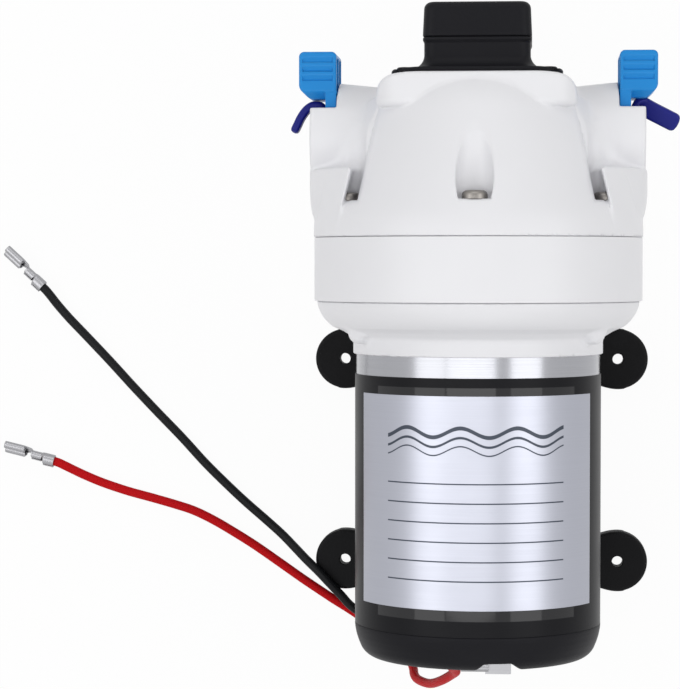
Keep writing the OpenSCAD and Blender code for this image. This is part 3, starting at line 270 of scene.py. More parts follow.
def sixth(x, h):
    """Place within the nearest sixth of the screw circle: sideways, outwards and its number."""
    angle = np.arctan2(x, h)
    step = math.pi / 3
    number = np.round(angle / step)
    left = angle - number * step
    r = np.hypot(x, h)
    return r * np.sin(left), r * np.cos(left), np.mod(number, 6)


def dome_outline():
    """Radius of the dome over s: a round shoulder, a straight side and a round crown."""
    lean = 22.3
    slope = math.radians(lean)
    shoulder_r = 22
    crown_r = 30
    shoulder = arc(HEAD_R - shoulder_r, SEAM_HEAD + 1, shoulder_r, 0, lean, 12)
    crown_from = PLATEAU - 11.5
    edge = shoulder[-1, 0] - (crown_from - shoulder[-1, 1]) * math.tan(slope)
    crown = arc(edge - crown_r * math.cos(slope), crown_from - crown_r * math.sin(slope),
                crown_r, lean, 48.5, 12)
    return np.vstack([[(HEAD_R, SEAM_HEAD - 5)], shoulder, crown])


DOME = dome_outline()


def gusset_field(x, s, h):
    """The buttress under a port: the head's round wall carried up to a ledge, with a flat flare."""
    r = np.hypot(x, h)
    side = np.abs(x)
    inner = np.interp(s, [SEAM_HEAD, POCKET_FLOOR, LEDGE], [43.0, 40.2, 37.7])
    swell = np.interp(s, SEAM_HEAD + np.array([5.2, 7.2, 10.7, 13.9]), [51.4, 52.3, 52.9, 53.1])
    flare = 0.801 * (side - GUSSET_IN) - 0.163 * (s - LEDGE) + 0.576 * (np.abs(h) - 32.35)
    outside = np.minimum(r - 51.45, common(flare, r - swell, 1.5))
    d = common(inner - side, outside, 1.0)
    return common(d, s - LEDGE, 1.1)


def top_fall(x):
    """Fall of the square top towards its sides: a soft curve that starts 17 mm from the middle."""
    return 0.7 * np.clip((np.abs(x) - 17.0) / 9.0, 0, 1) ** 2


def front_field(x, s, h):
    """The front housing: dome, square top, port barrels and gussets joined with fillets, less
    the port mouths, clip slots, screw pockets and the hollow below."""
    sizes = bpy.context.scene.pump_sizes
    r = np.hypot(x, h)
    side = np.abs(x)
    d = common(turned_field(r, s, DOME), s - DOME[-1, 1], 1.0)
    crown = common(side - 30.7, s - PLATEAU + top_fall(x), 6.0)
    d = np.maximum(d, 0.45 * (crown - 2.0 * np.maximum(118.0 - s, 0)))
    wall = SLOT_IN - (s - POCKET_FLOOR) * math.tan(SLOT_DRAFT)
    slot = np.maximum((wall - side) * math.cos(SLOT_DRAFT), SCREW_R0 / 2 - np.abs(h))
    d = cut(d, np.maximum(slot, POCKET_FLOOR - s), 1.5)
    u, v, _ = sixth(x, h)
    pocket = np.maximum(np.hypot(u, v - SCREW_R0) - POCKET_R, POCKET_FLOOR - s)
    d = cut(d, pocket, sizes.pocket_round)
    top = common(crown, rounded_plan(x, h, 32.5, 32.0, 11.0), 0.9)
    d = join(d, common(top, 114.0 - s, 2.2), 0.7)
    round_port = np.hypot(s - PORT_Y, h)
    port_r = 16.5 + 0.1 * np.clip(side - 35.0, -9.0, 9.0)
    barrel = common(round_port - port_r, side - PORT_FACE, 0.7)
    fillet = 0.8 + (sizes.port_blend - 0.8) * np.clip((116.0 - s) / 6.0, 0, 1)
    d = join(d, np.maximum(barrel, 18.0 - side), fillet)
    fillet = 1.1 + 3.4 * np.clip((23.0 - np.abs(h)) / 9.0, 0, 1) * np.clip((49.5 - side) / 6.0, 0, 1)
    d = join(d, gusset_field(x, s, h), fillet)
    d = common(d, SEAM_HEAD + 0.05 - s, sizes.seam_round)
    d = cut(d, np.maximum(NOTCH_X - side, NOTCH_FLOOR - s), 0.35)
    slot = np.maximum(within(side, NOTCH_X, FORK[1] + 0.25), np.abs(h) - 10.85)
    d = cut(d, np.maximum(slot, PORT_Y - 7.7 - s), 0.25)
    for radius, depth, rim in PORT_BORES:
        d = cut(d, np.maximum(round_port - radius, PORT_FACE - depth - side), rim)
    return cut(d, np.maximum(r - CAVITY_R, s - 83.5), 0.3)


def drive_outline():
    """Radius of the drive housing over s: the collar, its root fillet, the lip and the belly."""
    collar = CAN_R + 0.9
    draft = math.radians(8.5)
    turn = math.radians(55)
    bulge = 12.0
    belly_r = DRIVE_R - bulge * math.cos(draft)
    belly_y = SEAM_DRIVE + bulge * math.sin(draft)
    lip_y = belly_y - bulge * math.sin(turn)
    lip_r = belly_r + bulge * math.cos(turn)
    root = arc(collar + 2.2, lip_y - 4.6, 2.2, 180, 112, 8)
    middle = [((collar + lip_r) / 2, lip_y - 1.4), (lip_r, lip_y)]
    belly = arc(belly_r, belly_y, bulge, -49, -8.5, 14)
    return np.vstack([[(collar, COLLAR_EDGE - 3)], root, middle, belly, [(DRIVE_R, SEAM_DRIVE + 3)]])


DRIVE = drive_outline()


def drive_field(x, s, h):
    """The drive housing: a turned belly with soft lobes over four screws, less the can's socket."""
    r = np.hypot(x, h)
    d = turned_field(r, s, DRIVE)
    u, v, number = sixth(x, h)
    lobe = np.hypot(np.hypot(u, v - 41.7), np.minimum(s - 44.6, 0)) - 3.4
    d = join(d, np.where(np.mod(number, 3) == 0, 20.0, lobe), 2.0)
    d = common(d, COLLAR_EDGE - s, 0.35)
    d = common(d, s - SEAM_DRIVE + 0.05, bpy.context.scene.pump_sizes.seam_round)
    d = cut(d, np.maximum(r - CAN_R - 0.05, s - 44.0), 0.2)
    d = cut(d, r - 12.5, 0.2)
    return cut(d, np.maximum(r - CAVITY_R, 47.0 - s), 0.2)


CAP_OUTLINE = np.vstack([
    [(30.0, CAP_REAR - 2.0)],
    arc(31.79, -52.4, 5.7, -88, -24, 14),
    [(37.75, -52.9), (38.35, -51.0), (38.75, -49.0), (38.9, -47.5), (38.9, -44.0)],
])


def cap_field(x, s, h):
    """The rear cap: a turned rim with a dish behind, two notches in the rim and a spigot in front."""
    r = np.hypot(x, h)
    d = common(turned_field(r, s, CAP_OUTLINE), CAP_REAR - s, 0.5)
    d = common(d, s - CAP_SEAM, 0.8)
    d = np.minimum(d, np.maximum(r - 36.65, within(s, -48.0, -44.5)))
    d = cut(d, np.maximum(r - DISH_R, s - DISH_FLOOR), 0.7)
    d = cut(d, np.maximum(r - 34.1, -50.0 - s), 0.3)
    rise = s - CAP_REAR - 2.6
    across = np.abs(x * np.where(h > 0, 1.0, -1.0) - 7.1)
    notch = np.maximum(0.67 * (across - 4.1 + 1.11 * rise), np.maximum(25.5 - np.abs(h), rise))
    return cut(d, notch, 0.45)


def foot_field(x, y, z):
    """A rubber foot: a round ear and a neck with soft top edges, a hole and a slot."""
    ear = np.hypot(x, y) - 10.0
    neck = np.maximum(within(x, -16.2, 0.0), np.abs(y) - 8.0)
    d = join(ear, neck, 3.0)
    d = common(d, z - 7.0, 1.3)
    d = common(d, -z, 0.5)
    d = cut(d, np.hypot(x, y) - 1.8, 0.3)
    slot = np.maximum(x + 5.45, np.maximum(np.abs(y) - 6.25, np.abs(z - 3.5) - 0.85))
    return cut(d, slot, 0.2)


def plate_field(x, s, h):
    """The pressed base plate: a saddle under the can, two legs, and flanges with four tongues."""
    r = np.hypot(x, h)
    side = np.abs(x)
    z = h + AXIS_H
    lean = math.radians(38)
    saddle = common(np.abs(r - 39.35) - 0.8, side * math.cos(lean) + h * math.sin(lean), 0.2)
    along = within(s, -41.0, 37.0)
    legs = np.maximum(within(side, 22.8, 24.4), within(z, 2.9, 24.3))
    d = np.maximum(join(saddle, legs, 1.0), along)
    strip = np.maximum(within(side, 23.6, 28.4), np.abs(s) - 40.0)
    tongue = np.maximum(within(side, 24.0, 40.1), np.abs(np.abs(s) - FOOT_Y) - 6.0)
    plan = join(strip, tongue, 1.5)
    return join(d, common(plan, np.abs(z - 3.5) - 0.8, 0.25), 0.8)


def switch_hollow(x, h):
    """Field of the square hollow inside the switch, with round corners."""
    return rounded_plan(x, h, 14.4, 14.4, 2.0)


def switch_base_field(x, s, h):
    """The switch's base: a flange that sweeps up into the body in a hollow flare, hollow inside."""
    fall = 0.6 * np.clip((np.abs(x) - 16.8) / 9.7, 0, 1)
    flange = common(rounded_plan(x, h, 26.5, 23.0, 7.0), s - FLANGE_TOP + fall, 1.0)
    half = 16.5 + 0.4 * np.clip((s - SWITCH_SEAM + 1.9) / 0.9, 0, 1)
    body = rounded_plan(x, h, half, half, 3.5)
    d = join(flange, body, 4.0)
    d = common(d, s - SWITCH_SEAM + 0.05, 0.5)
    d = np.maximum(d, PLATEAU + 0.02 - top_fall(x) - s)
    screws = np.hypot(np.abs(x) - SWITCH_SCREW[0], np.abs(h) - SWITCH_SCREW[1])
    d = cut(d, np.maximum(screws - 3.0, SWITCH_SCREW_SEAT - s), 0.2)
    d = cut(d, np.hypot(x, h) - PLUNGER_HOLE_R, 0.2)
    return cut(d, np.maximum(switch_hollow(x, h), PLATEAU + 3.85 - s), 0.2)


def switch_cap_field(x, s, h):
    """The switch's cap: a square block with a slight draft, soft edges and the adjuster's hole."""
    half = 16.95 - 0.045 * (s - SWITCH_SEAM)
    d = common(rounded_plan(x, h, half, half, 3.6), s - SWITCH_TOP, 2.2)
    d = common(d, SWITCH_SEAM + 0.05 - s, 0.5)
    inside = np.maximum(switch_hollow(x, h), s - SWITCH_TOP + 2.4)
    d = cut(d, np.maximum(inside, 5.4 - np.hypot(x, h)), 0.2)
    return cut(d, np.hypot(x, h) - 3.04, 0.35)


def clip_field(x, s, h):
    """A slide clip: a flat fork and a hollow thumb grip with three stepped grooves on each face."""
    side = np.abs(x)
    fork = np.maximum(within(side, *FORK), within(s, PORT_Y - 7.45, THUMB[0] + 2.0))
    fork = np.maximum(fork, np.abs(h) - FORK_HALF)
    fork = common(fork, np.abs(h) - FORK_HALF, 0.5)
    gap = np.where(s < PORT_Y, np.abs(h), np.hypot(s - PORT_Y, h)) - 7.6
    fork = cut(fork, gap, 0.3)
    head = common(within(side, FORK[0], THUMB_OUT), within(s, *THUMB), 1.6)
    head = common(head, np.abs(h) - THUMB_HALF, 0.6)
    head = common(head, (side - 52.7 - (s - THUMB[0])) * 0.7071, 0.8)
    head = common(head, (np.abs(h) - THUMB_HALF + 1.2 * (THUMB[0] + 2.2 - s)) * 0.64, 0.3)
    hollow = np.maximum(within(s, THUMB[0] + 1.8, THUMB[1] - 1.8), side - THUMB_OUT + 1.8)
    hollow = np.maximum(hollow, within(np.abs(h), 0.9, 8.5))
    head = cut(head, hollow, 0.3)
    d = join(head, fork, 0.5)
    off = s - 123.3
    above = off - 2.8 * np.clip(np.floor(off / 2.8), 0, 2)
    groove = np.maximum(-above, 0.95 * (9.6 + 0.4 * above - np.abs(h)))
    return cut(d, np.maximum(groove, within(side, FORK[0] + 1.2, THUMB_OUT - 1.2)), 0.12)


def skin(field, low, high, step):
    """Surface of a field on a grid: one point in each cell that the surface crosses, at the mean of
    the crossings on the cell's edges, moved to the field's zero along its gradient. Faces join
    the four cells round each crossed edge. Gives points, quads and outward normals."""
    axes = [np.arange(a - 1.6 * step, b + 2.6 * step, step) for a, b in zip(low, high)]
    shape = tuple(len(a) for a in axes)
    d = np.broadcast_to(field(*np.meshgrid(*axes, indexing="ij", sparse=True)), shape)
    solid = d < 0
    corners = np.array(np.meshgrid([0, 1], [0, 1], [0, 1], indexing="ij")).reshape(3, 8).T
    inner = [n - 1 for n in shape]
    count = sum(
        solid[a:a + inner[0], b:b + inner[1], c:c + inner[2]].astype(np.int8) for a, b, c in corners)
    crossed = (count > 0) & (count < 8)
    cells = np.argwhere(crossed)
    index = np.full(crossed.shape, -1)
    index[crossed] = np.arange(len(cells))
    total = np.zeros((len(cells), 3))
    hits = np.zeros((len(cells), 1))
    for axis in range(3):
        for start in corners[corners[:, axis] == 0]:
            end = start + np.eye(3, dtype=int)[axis]
            a = d[tuple((cells + start).T)]
            b = d[tuple((cells + end).T)]
            hit = (a < 0) != (b < 0)
            t = np.where(hit, a / np.where(hit, a - b, 1.0), 0.0)
            total += np.where(hit[:, None], start + t[:, None] * (end - start), 0.0)
            hits += hit[:, None]
    points = (cells + total / hits) * step + np.array([a[0] for a in axes])
    quads = []
    for axis in range(3):
        b, c = (axis + 1) % 3, (axis + 2) % 3
        low_end = np.take(solid, np.arange(shape[axis] - 1), axis)
        high_end = np.take(solid, np.arange(1, shape[axis]), axis)
        edges = np.argwhere(low_end != high_end)
        free = (edges[:, b] > 0) & (edges[:, c] > 0)
        free &= (edges[:, b] < shape[b] - 1) & (edges[:, c] < shape[c] - 1)
        edges = edges[free]
        ring = []
        for q, w in ((-1, -1), (0, -1), (0, 0), (-1, 0)):
            near = edges.copy()
            near[:, b] += q
            near[:, c] += w
            ring.append(index[tuple(near.T)])
        ring = np.column_stack(ring)
        outward = low_end[tuple(edges.T)]
        quads.append(np.where(outward[:, None], ring, ring[:, ::-1]))
    for _ in range(5):
        slope = gradient(field, points)
        size = np.maximum((slope ** 2).sum(1), 0.05)
        move = slope * (field(*points.T) / size)[:, None]
        points -= np.clip(move, -0.5 * step, 0.5 * step)
    normals = gradient(field, points)
    normals /= np.maximum(np.linalg.norm(normals, axis=1, keepdims=True), 1e-9)
    return points, np.vstack(quads), normals


def gradient(field, points, e=0.03):
    """Slope of a field at points, from central differences over 2 e."""
    return np.column_stack([
        field(*(points + o).T) - field(*(points - o).T) for o in np.eye(3) * e]) / (2 * e)


# Meshes

def upright(points):
    """Points from pump axes in millimetres to the frame in metres: the axis is AXIS_H up."""
    return (np.asarray(points) + (0.0, 0.0, AXIS_H)) * MM


def area_normals(points, quads, caps):
    """Normals at points: the sum of the area vectors of the faces round each, so that a long flat
    keeps its own direction up to its rounded edges."""
    p = np.asarray(points, dtype=float)
    a, b, c, d = (p[np.asarray(quads)[:, k]] for k in range(4))
    face = np.cross(c - a, d - b)
    total = np.zeros_like(p)
    for k in range(4):
        np.add.at(total, np.asarray(quads)[:, k], face)
    for cap in caps:
        rim = p[cap]
        total[cap] += np.cross(rim, np.roll(rim, -1, 0)).sum(0)
    return total / np.maximum(np.linalg.norm(total, axis=1, keepdims=True), 1e-18)


def put_mesh(name, points, quads, normals=None, caps=()):
    """A mesh object from points in metres, quads and end caps, shaded smooth."""
    if normals is None:
        normals = area_normals(points, quads, caps)
    mesh = bpy.data.meshes.new(name)
    sizes = np.concatenate([np.full(len(quads), 4), [len(c) for c in caps]]).astype(int)
    corners = np.concatenate([np.asarray(quads).ravel(), *[np.asarray(c) for c in caps]]).astype(int)
    mesh.vertices.add(len(points))
    mesh.vertices.foreach_set("co", np.asarray(points, dtype=np.float32).ravel())
    mesh.loops.add(len(corners))
    mesh.loops.foreach_set("vertex_index", corners)
    mesh.polygons.add(len(sizes))
    mesh.polygons.foreach_set("loop_start", np.concatenate([[0], np.cumsum(sizes)[:-1]]).astype(int))
    mesh.update(calc_edges=True)
    mesh.validate()
    smooth = np.ones(len(mesh.polygons), dtype=bool)
    mesh.polygons.foreach_set("use_smooth", smooth)
    if len(normals):
        mesh.normals_split_custom_set_from_vertices(np.asarray(normals).tolist())
    piece = bpy.data.objects.new(name, mesh)
    bpy.context.scene.collection.objects.link(piece)
    return piece


def settle(piece, material, body, slot, *nodes):
    """Gives a piece its material and its body, and hides the CAD nodes that it stands for. The slot is not
    used.
    """
    piece.data.materials.append(material)
    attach(piece, body)
    if nodes:
        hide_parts(*nodes)
    return piece


def moulding(name, field, low, high, step, material, body, slot, *nodes):
    """A moulded piece: the skin of a field in pump axes, between two corners."""
    points, quads, normals = skin(field, low, high, step)
    if not len(quads):
        raise RuntimeError(name + " has no surface")
    piece = put_mesh(name, upright(points), quads, normals)
    return settle(piece, material, body, slot, *nodes)


def grid_faces(rows, columns, closed_rows=False, closed_columns=True):
    """Quads of a grid of rows by columns, joined end to end where it is closed."""
    i = np.arange(rows if closed_rows else rows - 1)[:, None]
    k = np.arange(columns if closed_columns else columns - 1)[None, :]
    i2 = (i + 1) % rows
    k2 = (k + 1) % columns
    quads = [i * columns + k, i * columns + k2, i2 * columns + k2, i2 * columns + k]
    return np.stack(np.broadcast_arrays(*quads), -1).reshape(-1, 4)


def soft_corners(points, radius, steps=5):
    """A closed outline with each corner replaced by a curve through it, radius long on each side."""
    p = np.asarray(points, dtype=float)
    back = np.roll(p, 1, 0) - p
    ahead = np.roll(p, -1, 0) - p
    reach = np.minimum(radius, 0.45 * np.minimum(np.hypot(*back.T), np.hypot(*ahead.T)))[:, None]
    a = p + back / np.hypot(*back.T)[:, None] * reach
    b = p + ahead / np.hypot(*ahead.T)[:, None] * reach
    t = np.linspace(0, 1, steps)[None, :, None]
    return ((1 - t) ** 2 * a[:, None] + 2 * t * (1 - t) * p[:, None] + t ** 2 * b[:, None]).reshape(-1, 2)


def turning(name, outline, sides=160):
    """A ring turned from a closed outline of (radius, s), going round the pump's axis."""
    a = np.linspace(0, 2 * math.pi, sides, endpoint=False)
    r, s = outline[:, :1], outline[:, 1:]
    points = np.stack(np.broadcast_arrays(r * np.sin(a), s + 0 * a, r * np.cos(a)), -1)
    return put_mesh(name, upright(points.reshape(-1, 3)), grid_faces(len(outline), sides, True))


def bent_sheet(name, r_in, r_out, half_angle, from_s, to_s, edge, steps=120):
    """A thin sheet bent round the axis: a closed section swept from -half_angle to +half_angle about
    the top, with u across the bend and v along the axis as its map."""
    corners = [(r_in, from_s), (r_out, from_s), (r_out, to_s), (r_in, to_s)]
    section = soft_corners(corners, edge, 3)
    a = np.radians(np.linspace(-half_angle, half_angle, steps))[:, None]
    r, s = section[None, :, 0], section[None, :, 1]
    points = np.stack(np.broadcast_arrays(r * np.sin(a), s + 0 * a, r * np.cos(a)), -1)
    n = len(section)
    caps = [np.arange(n), np.arange(n)[::-1] + (steps - 1) * n]
    piece = put_mesh(name, upright(points.reshape(-1, 3)), grid_faces(steps, n)[:, ::-1], None, caps)
    map_u = np.repeat(np.linspace(0, 1, steps), n)
    map_v = np.tile((section[:, 1] - from_s) / (to_s - from_s), steps)
    add_map(piece, np.column_stack([map_u, map_v]))
    return piece


def add_map(piece, uv):
    """A UV map from one (u, v) for each point of the mesh."""
    mesh = piece.data
    corner = np.zeros(len(mesh.loops), dtype=np.int32)
    mesh.loops.foreach_get("vertex_index", corner)
    layer = mesh.uv_layers.new(name="surface")
    layer.data.foreach_set("uv", uv[corner].astype(np.float32).ravel())


def smooth_line(points, steps):
    """A smooth curve through points (Catmull-Rom): a cubic between neighbours, with steps each."""
    p = np.asarray(points, dtype=float)
    q = np.vstack([p[:1], p, p[-1:]])
    a, b, c, d = (q[i:len(q) - 3 + i, None] for i in range(4))
    t = (np.arange(steps) / steps)[None, :, None]
    curve = b + ((c - a) * t + (2 * a - 5 * b + 4 * c - d) * t ** 2
                 + (3 * b - a - 3 * c + d) * t ** 3) / 2
    return np.vstack([curve.reshape(-1, 3), p[-1:]])


def along(points):
    """Unit directions along a line of points."""
    t = np.gradient(points, axis=0)
    return t / np.linalg.norm(t, axis=1, keepdims=True)


def carried(line, outline, across):
    """An outline carried along a line and capped at both ends: each ring lies square to the line,
    with the outline's first axis along the given across direction."""
    t = along(line)
    w = np.cross(t, across)
    w /= np.linalg.norm(w, axis=1, keepdims=True)
    u = np.cross(w, t)
    points = line[:, None] + outline[..., :1] * u[:, None] + outline[..., 1:] * w[:, None]
    m, n = points.shape[:2]
    caps = [np.arange(n)[::-1], np.arange(n) + (m - 1) * n]
    return points.reshape(-1, 3), grid_faces(m, n), caps


def ring(r, n):
    """n points of a circle of radius r."""
    a = np.linspace(0, 2 * math.pi, n, endpoint=False)
    return np.column_stack([r * np.cos(a), r * np.sin(a)])


# Materials

def node_group(name, inputs, outputs):
    """A new shader node group with float sockets, or colours where the name ends in Colour."""
    tree = bpy.data.node_groups.new(name, "ShaderNodeTree")
    for words, way in ((inputs, "INPUT"), (outputs, "OUTPUT")):
        for word in words:
            kind = "NodeSocketColor" if word.endswith("Colour") else "NodeSocketFloat"
            tree.interface.new_socket(name=word, in_out=way, socket_type=kind)
    return tree, tree.nodes.new("NodeGroupInput"), tree.nodes.new("NodeGroupOutput")


def math_node(tree, operation, a, b=None, clamp=False):
    """A Math node whose inputs are sockets or numbers; gives its output socket."""
    node = tree.nodes.new("ShaderNodeMath")
    node.operation = operation
    node.use_clamp = clamp
    for socket, value in zip(node.inputs, (a, b)):
        if isinstance(value, bpy.types.NodeSocket):
            tree.links.new(value, socket)
        elif value is not None:
            socket.default_value = value
    return node.outputs[0]


def noise_node(tree, vector, scale, detail=2.0):
    """A Noise texture on a vector socket; gives its value socket."""
    node = tree.nodes.new("ShaderNodeTexNoise")
    node.inputs["Detail"].default_value = detail
    if isinstance(scale, bpy.types.NodeSocket):
        tree.links.new(scale, node.inputs["Scale"])
    else:
        node.inputs["Scale"].default_value = scale
    tree.links.new(vector, node.inputs["Vector"])
    return node.outputs[0]


def tint_node(tree, colour, value):
    """Multiplies a colour by a grey value; gives the colour socket."""
    node = tree.nodes.new("ShaderNodeMix")
    node.data_type = "RGBA"
    node.blend_type = "MULTIPLY"
    node.inputs[0].default_value = 1.0
    tree.links.new(colour, node.inputs[6])
    tree.links.new(value, node.inputs[7])
    return node.outputs[2]


def end_group(tree, source, result, pattern, amount, spread, height):
    """Ends an effect group: the colour darkens by a pattern times its amount, the roughness moves by
    a spread value times Shine Spread, and the height goes out as it is."""
    dark = math_node(tree, "MULTIPLY", pattern, source.outputs[amount])
    tone = math_node(tree, "SUBTRACT", 1.0, dark)
    tree.links.new(tint_node(tree, source.outputs["Base Colour"], tone), result.inputs["Colour"])
    move = math_node(tree, "MULTIPLY", spread, source.outputs["Shine Spread"])
    tree.links.new(math_node(tree, "ADD", source.outputs["Shine"], move), result.inputs["Roughness"])
    tree.links.new(height, result.inputs["Height"])
    return tree


def moulded_group():
    """Moulded plastic: slow tone changes over centimetres, and a fine grain."""
    tree, source, result = node_group(
        "moulded", ["Base Colour", "Mottle", "Shine", "Shine Spread", "Grain"],
        ["Colour", "Roughness", "Height"])
    place = tree.nodes.new("ShaderNodeTexCoord").outputs["Object"]
    slow = noise_node(tree, place, 45.0, 3.0)
    fine = noise_node(tree, place, source.outputs["Grain"], 2.0)
    spread = math_node(tree, "SUBTRACT", slow, 0.5)
    return end_group(tree, source, result, slow, "Mottle", spread, fine)


def turned_group():
    """Turned or rolled metal: fine lines across the pump's axis, and cloudy tone changes."""
    tree, source, result = node_group(
        "turned", ["Base Colour", "Lines", "Shine", "Shine Spread", "Pitch"],
        ["Colour", "Roughness", "Height"])
    place = tree.nodes.new("ShaderNodeTexCoord").outputs["Object"]
    stretch = tree.nodes.new("ShaderNodeMapping")
    stretch.inputs["Scale"].default_value = (0.012, 1.0, 0.012)
    tree.links.new(place, stretch.inputs["Vector"])
    lines = noise_node(tree, stretch.outputs[0], source.outputs["Pitch"], 3.0)
    cloud = noise_node(tree, place, 60.0, 3.0)
    spread = math_node(tree, "SUBTRACT", math_node(tree, "ADD", lines, cloud), 1.0)
    return end_group(tree, source, result, lines, "Lines", spread, lines)


def group_tree(name):
    """The node group of that name, made the first time it is asked for."""
    makers = {"moulded": moulded_group, "turned": turned_group}
    return bpy.data.node_groups.get(name) or makers[name]()


def finish(name, colour, kind, values, bump, **shader):
    """A material: one effect group feeds colour, roughness and bump, and plain values the shader."""
    title = name + "_finish"
    material = bpy.data.materials.get(title)
    if material:
        return material
    material = bpy.data.materials.new(title)
    material.use_nodes = True
    tree = material.node_tree
    bsdf = tree.nodes["Principled BSDF"]
    effect = tree.nodes.new("ShaderNodeGroup")
    effect.node_tree = group_tree(kind)
    effect.inputs["Base Colour"].default_value = (*colour, 1.0)
    for word, value in values.items():
        effect.inputs[word].default_value = value
    relief = tree.nodes.new("ShaderNodeBump")
    relief.inputs["Strength"].default_value = bump[0]
    relief.inputs["Distance"].default_value = bump[1]
    tree.links.new(effect.outputs["Colour"], bsdf.inputs["Base Color"])
    tree.links.new(effect.outputs["Roughness"], bsdf.inputs["Roughness"])
    tree.links.new(effect.outputs["Height"], relief.inputs["Height"])
    tree.links.new(relief.outputs[0], bsdf.inputs["Normal"])
    for word, value in shader.items():
        bsdf.inputs[word.replace("_", " ")].default_value = value
    return material


def plastic(name, colour, mottle=0.05, shine=0.45, spread=0.12, grain=1500.0,
            bump=(0.12, 0.0001), **shader):
    """A moulded plastic, rubber or film."""
    values = {"Mottle": mottle, "Shine": shine, "Shine Spread": spread, "Grain": grain}
    return finish(name, colour, "moulded", values, bump, **shader)


def metal(name, colour, lines=0.15, shine=0.3, spread=0.12, pitch=3000.0,
          bump=(0.1, 0.00005), **shader):
    """A turned or rolled metal."""
    values = {"Lines": lines, "Shine": shine, "Shine Spread": spread, "Pitch": pitch}
    return finish(name, colour, "turned", values, bump, Metallic=1.0, **shader)


def head_white(colours):
    """White plastic of the three housings."""
    return plastic("head_white", colours.head, 0.03, 0.42, 0.1, 1100.0, (0.06, 0.0001))


def shell_black(colours):
    """Black plastic of the rear cap and the switch."""
    return plastic("shell_black", colours.shell, 0.25, 0.45, 0.14, 1600.0, (0.25, 0.0001),
                   Specular_IOR_Level=0.1)


def plated_steel(colours):
    """Plated steel of screws, plates and springs."""
    return metal("plated_steel", colours.steel, 0.12, 0.28, 0.12, 1800.0)


def uv_sockets(tree):
    """The u and v sockets of a material's texture coordinates."""
    split = tree.nodes.new("ShaderNodeSeparateXYZ")
    tree.links.new(tree.nodes.new("ShaderNodeTexCoord").outputs["UV"], split.inputs[0])
    return split.outputs[0], split.outputs[1]


def uv_band(tree, value, middle, half, steepness):
    """1 where the value is within half of the middle, with a soft edge."""
    off = math_node(tree, "ABSOLUTE", math_node(tree, "SUBTRACT", value, middle))
    return math_node(tree, "MULTIPLY", math_node(tree, "SUBTRACT", half, off), steepness, True)


def label_material(colours):
    """The label: satin silver with wave lines and blank ruled rows in one ink."""
    material = metal("label_silver", colours.label, 0.06, 0.36, 0.08, 2500.0, (0.05, 0.00003))
    tree = material.node_tree
    bsdf = tree.nodes["Principled BSDF"]
    u, v = uv_sockets(tree)

    def band(value, middle, half):
        return uv_band(tree, value, middle, half, 700.0)

    def both(a, b):
        return math_node(tree, "MULTIPLY", a, b)

    def either(a, b):
        return math_node(tree, "MAXIMUM", a, b)

    swing = math_node(tree, "SINE", math_node(tree, "MULTIPLY", u, 31.4))
    wave = math_node(tree, "ADD", v, math_node(tree, "MULTIPLY", swing, -0.022))
    ink = either(band(wave, 0.83, 0.010), either(band(wave, 0.785, 0.0065), band(wave, 0.745, 0.004)))
    ink = both(ink, band(u, 0.5, 0.34))
    row = math_node(tree, "ABSOLUTE", math_node(tree, "SUBTRACT", math_node(
        tree, "FRACT", math_node(tree, "MULTIPLY", v, 11.0)), 0.5))
    rule = math_node(tree, "MULTIPLY", math_node(tree, "SUBTRACT", 0.04, row), 90.0, True)
    ink = either(ink, both(rule, both(band(u, 0.5, 0.34), band(v, 0.37, 0.27))))
    mixer = tree.nodes.new("ShaderNodeMix")
    mixer.data_type = "RGBA"
    mixer.inputs[7].default_value = (*colours.print_ink, 1.0)
    colour_link = bsdf.inputs["Base Color"].links[0]
    tree.links.new(colour_link.from_socket, mixer.inputs[6])
    tree.links.new(ink, mixer.inputs[0])
    tree.links.new(mixer.outputs[2], bsdf.inputs["Base Color"])
    tree.links.new(math_node(tree, "SUBTRACT", 1.0, math_node(tree, "MULTIPLY", ink, 0.8)),
                   bsdf.inputs["Metallic"])
    return material


def gloss_zone(material):
    """Clear coat on the wrap where u and v are within a rectangle round the label."""
    tree = material.node_tree
    u, v = uv_sockets(tree)
    across = uv_band(tree, u, 0.5, 0.185, 500.0)
    along_motor = uv_band(tree, v, 0.513, 0.451, 500.0)
    weight = math_node(tree, "MULTIPLY", math_node(tree, "MULTIPLY", across, along_motor), 0.55)
    bsdf = tree.nodes["Principled BSDF"]
    tree.links.new(weight, bsdf.inputs["Coat Weight"])
    bsdf.inputs["Coat Roughness"].default_value = 0.06


def dress(nodes, material):
    """Gives CAD nodes that stay a material of their own."""
    for name in nodes:
        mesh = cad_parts[name].data
        mesh.materials.clear()
        mesh.materials.append(material)


# Operators

class PUMP_OT_head(bpy.types.Operator):
    """Builds the three white housings of the pump head"""
    bl_idname = "pump.head"
    bl_label = "Head housings"

    def execute(self, context):
        sizes = context.scene.pump_sizes
        white = head_white(context.scene.pump_colours)
        moulding("front_housing_skin", front_field, (-54, 74, -52), (54, 124.8, 52),
                 sizes.head_step, white, "pump", "white_plastic", "front_housing")
        band = soft_corners([
            (HEAD_R, SEAM_DRIVE + 0.05), (HEAD_R, SEAM_HEAD - 0.05), (CAVITY_R, SEAM_HEAD - 0.05),
            (CAVITY_R, 72.8), (33.0, 72.8), (33.0, 70.0), (CAVITY_R, 68.0),
            (CAVITY_R, SEAM_DRIVE + 0.05)], sizes.seam_round)
        settle(turning("diaphragm_housing_band", band), white, "pump", "white_plastic",
               "diaphragm_housing")
        moulding("drive_housing_skin", drive_field, (-51, 37.5, -51), (51, 54.5, 51),
                 sizes.drive_step, white, "pump", "white_plastic", "drive_housing")
        return {"FINISHED"}


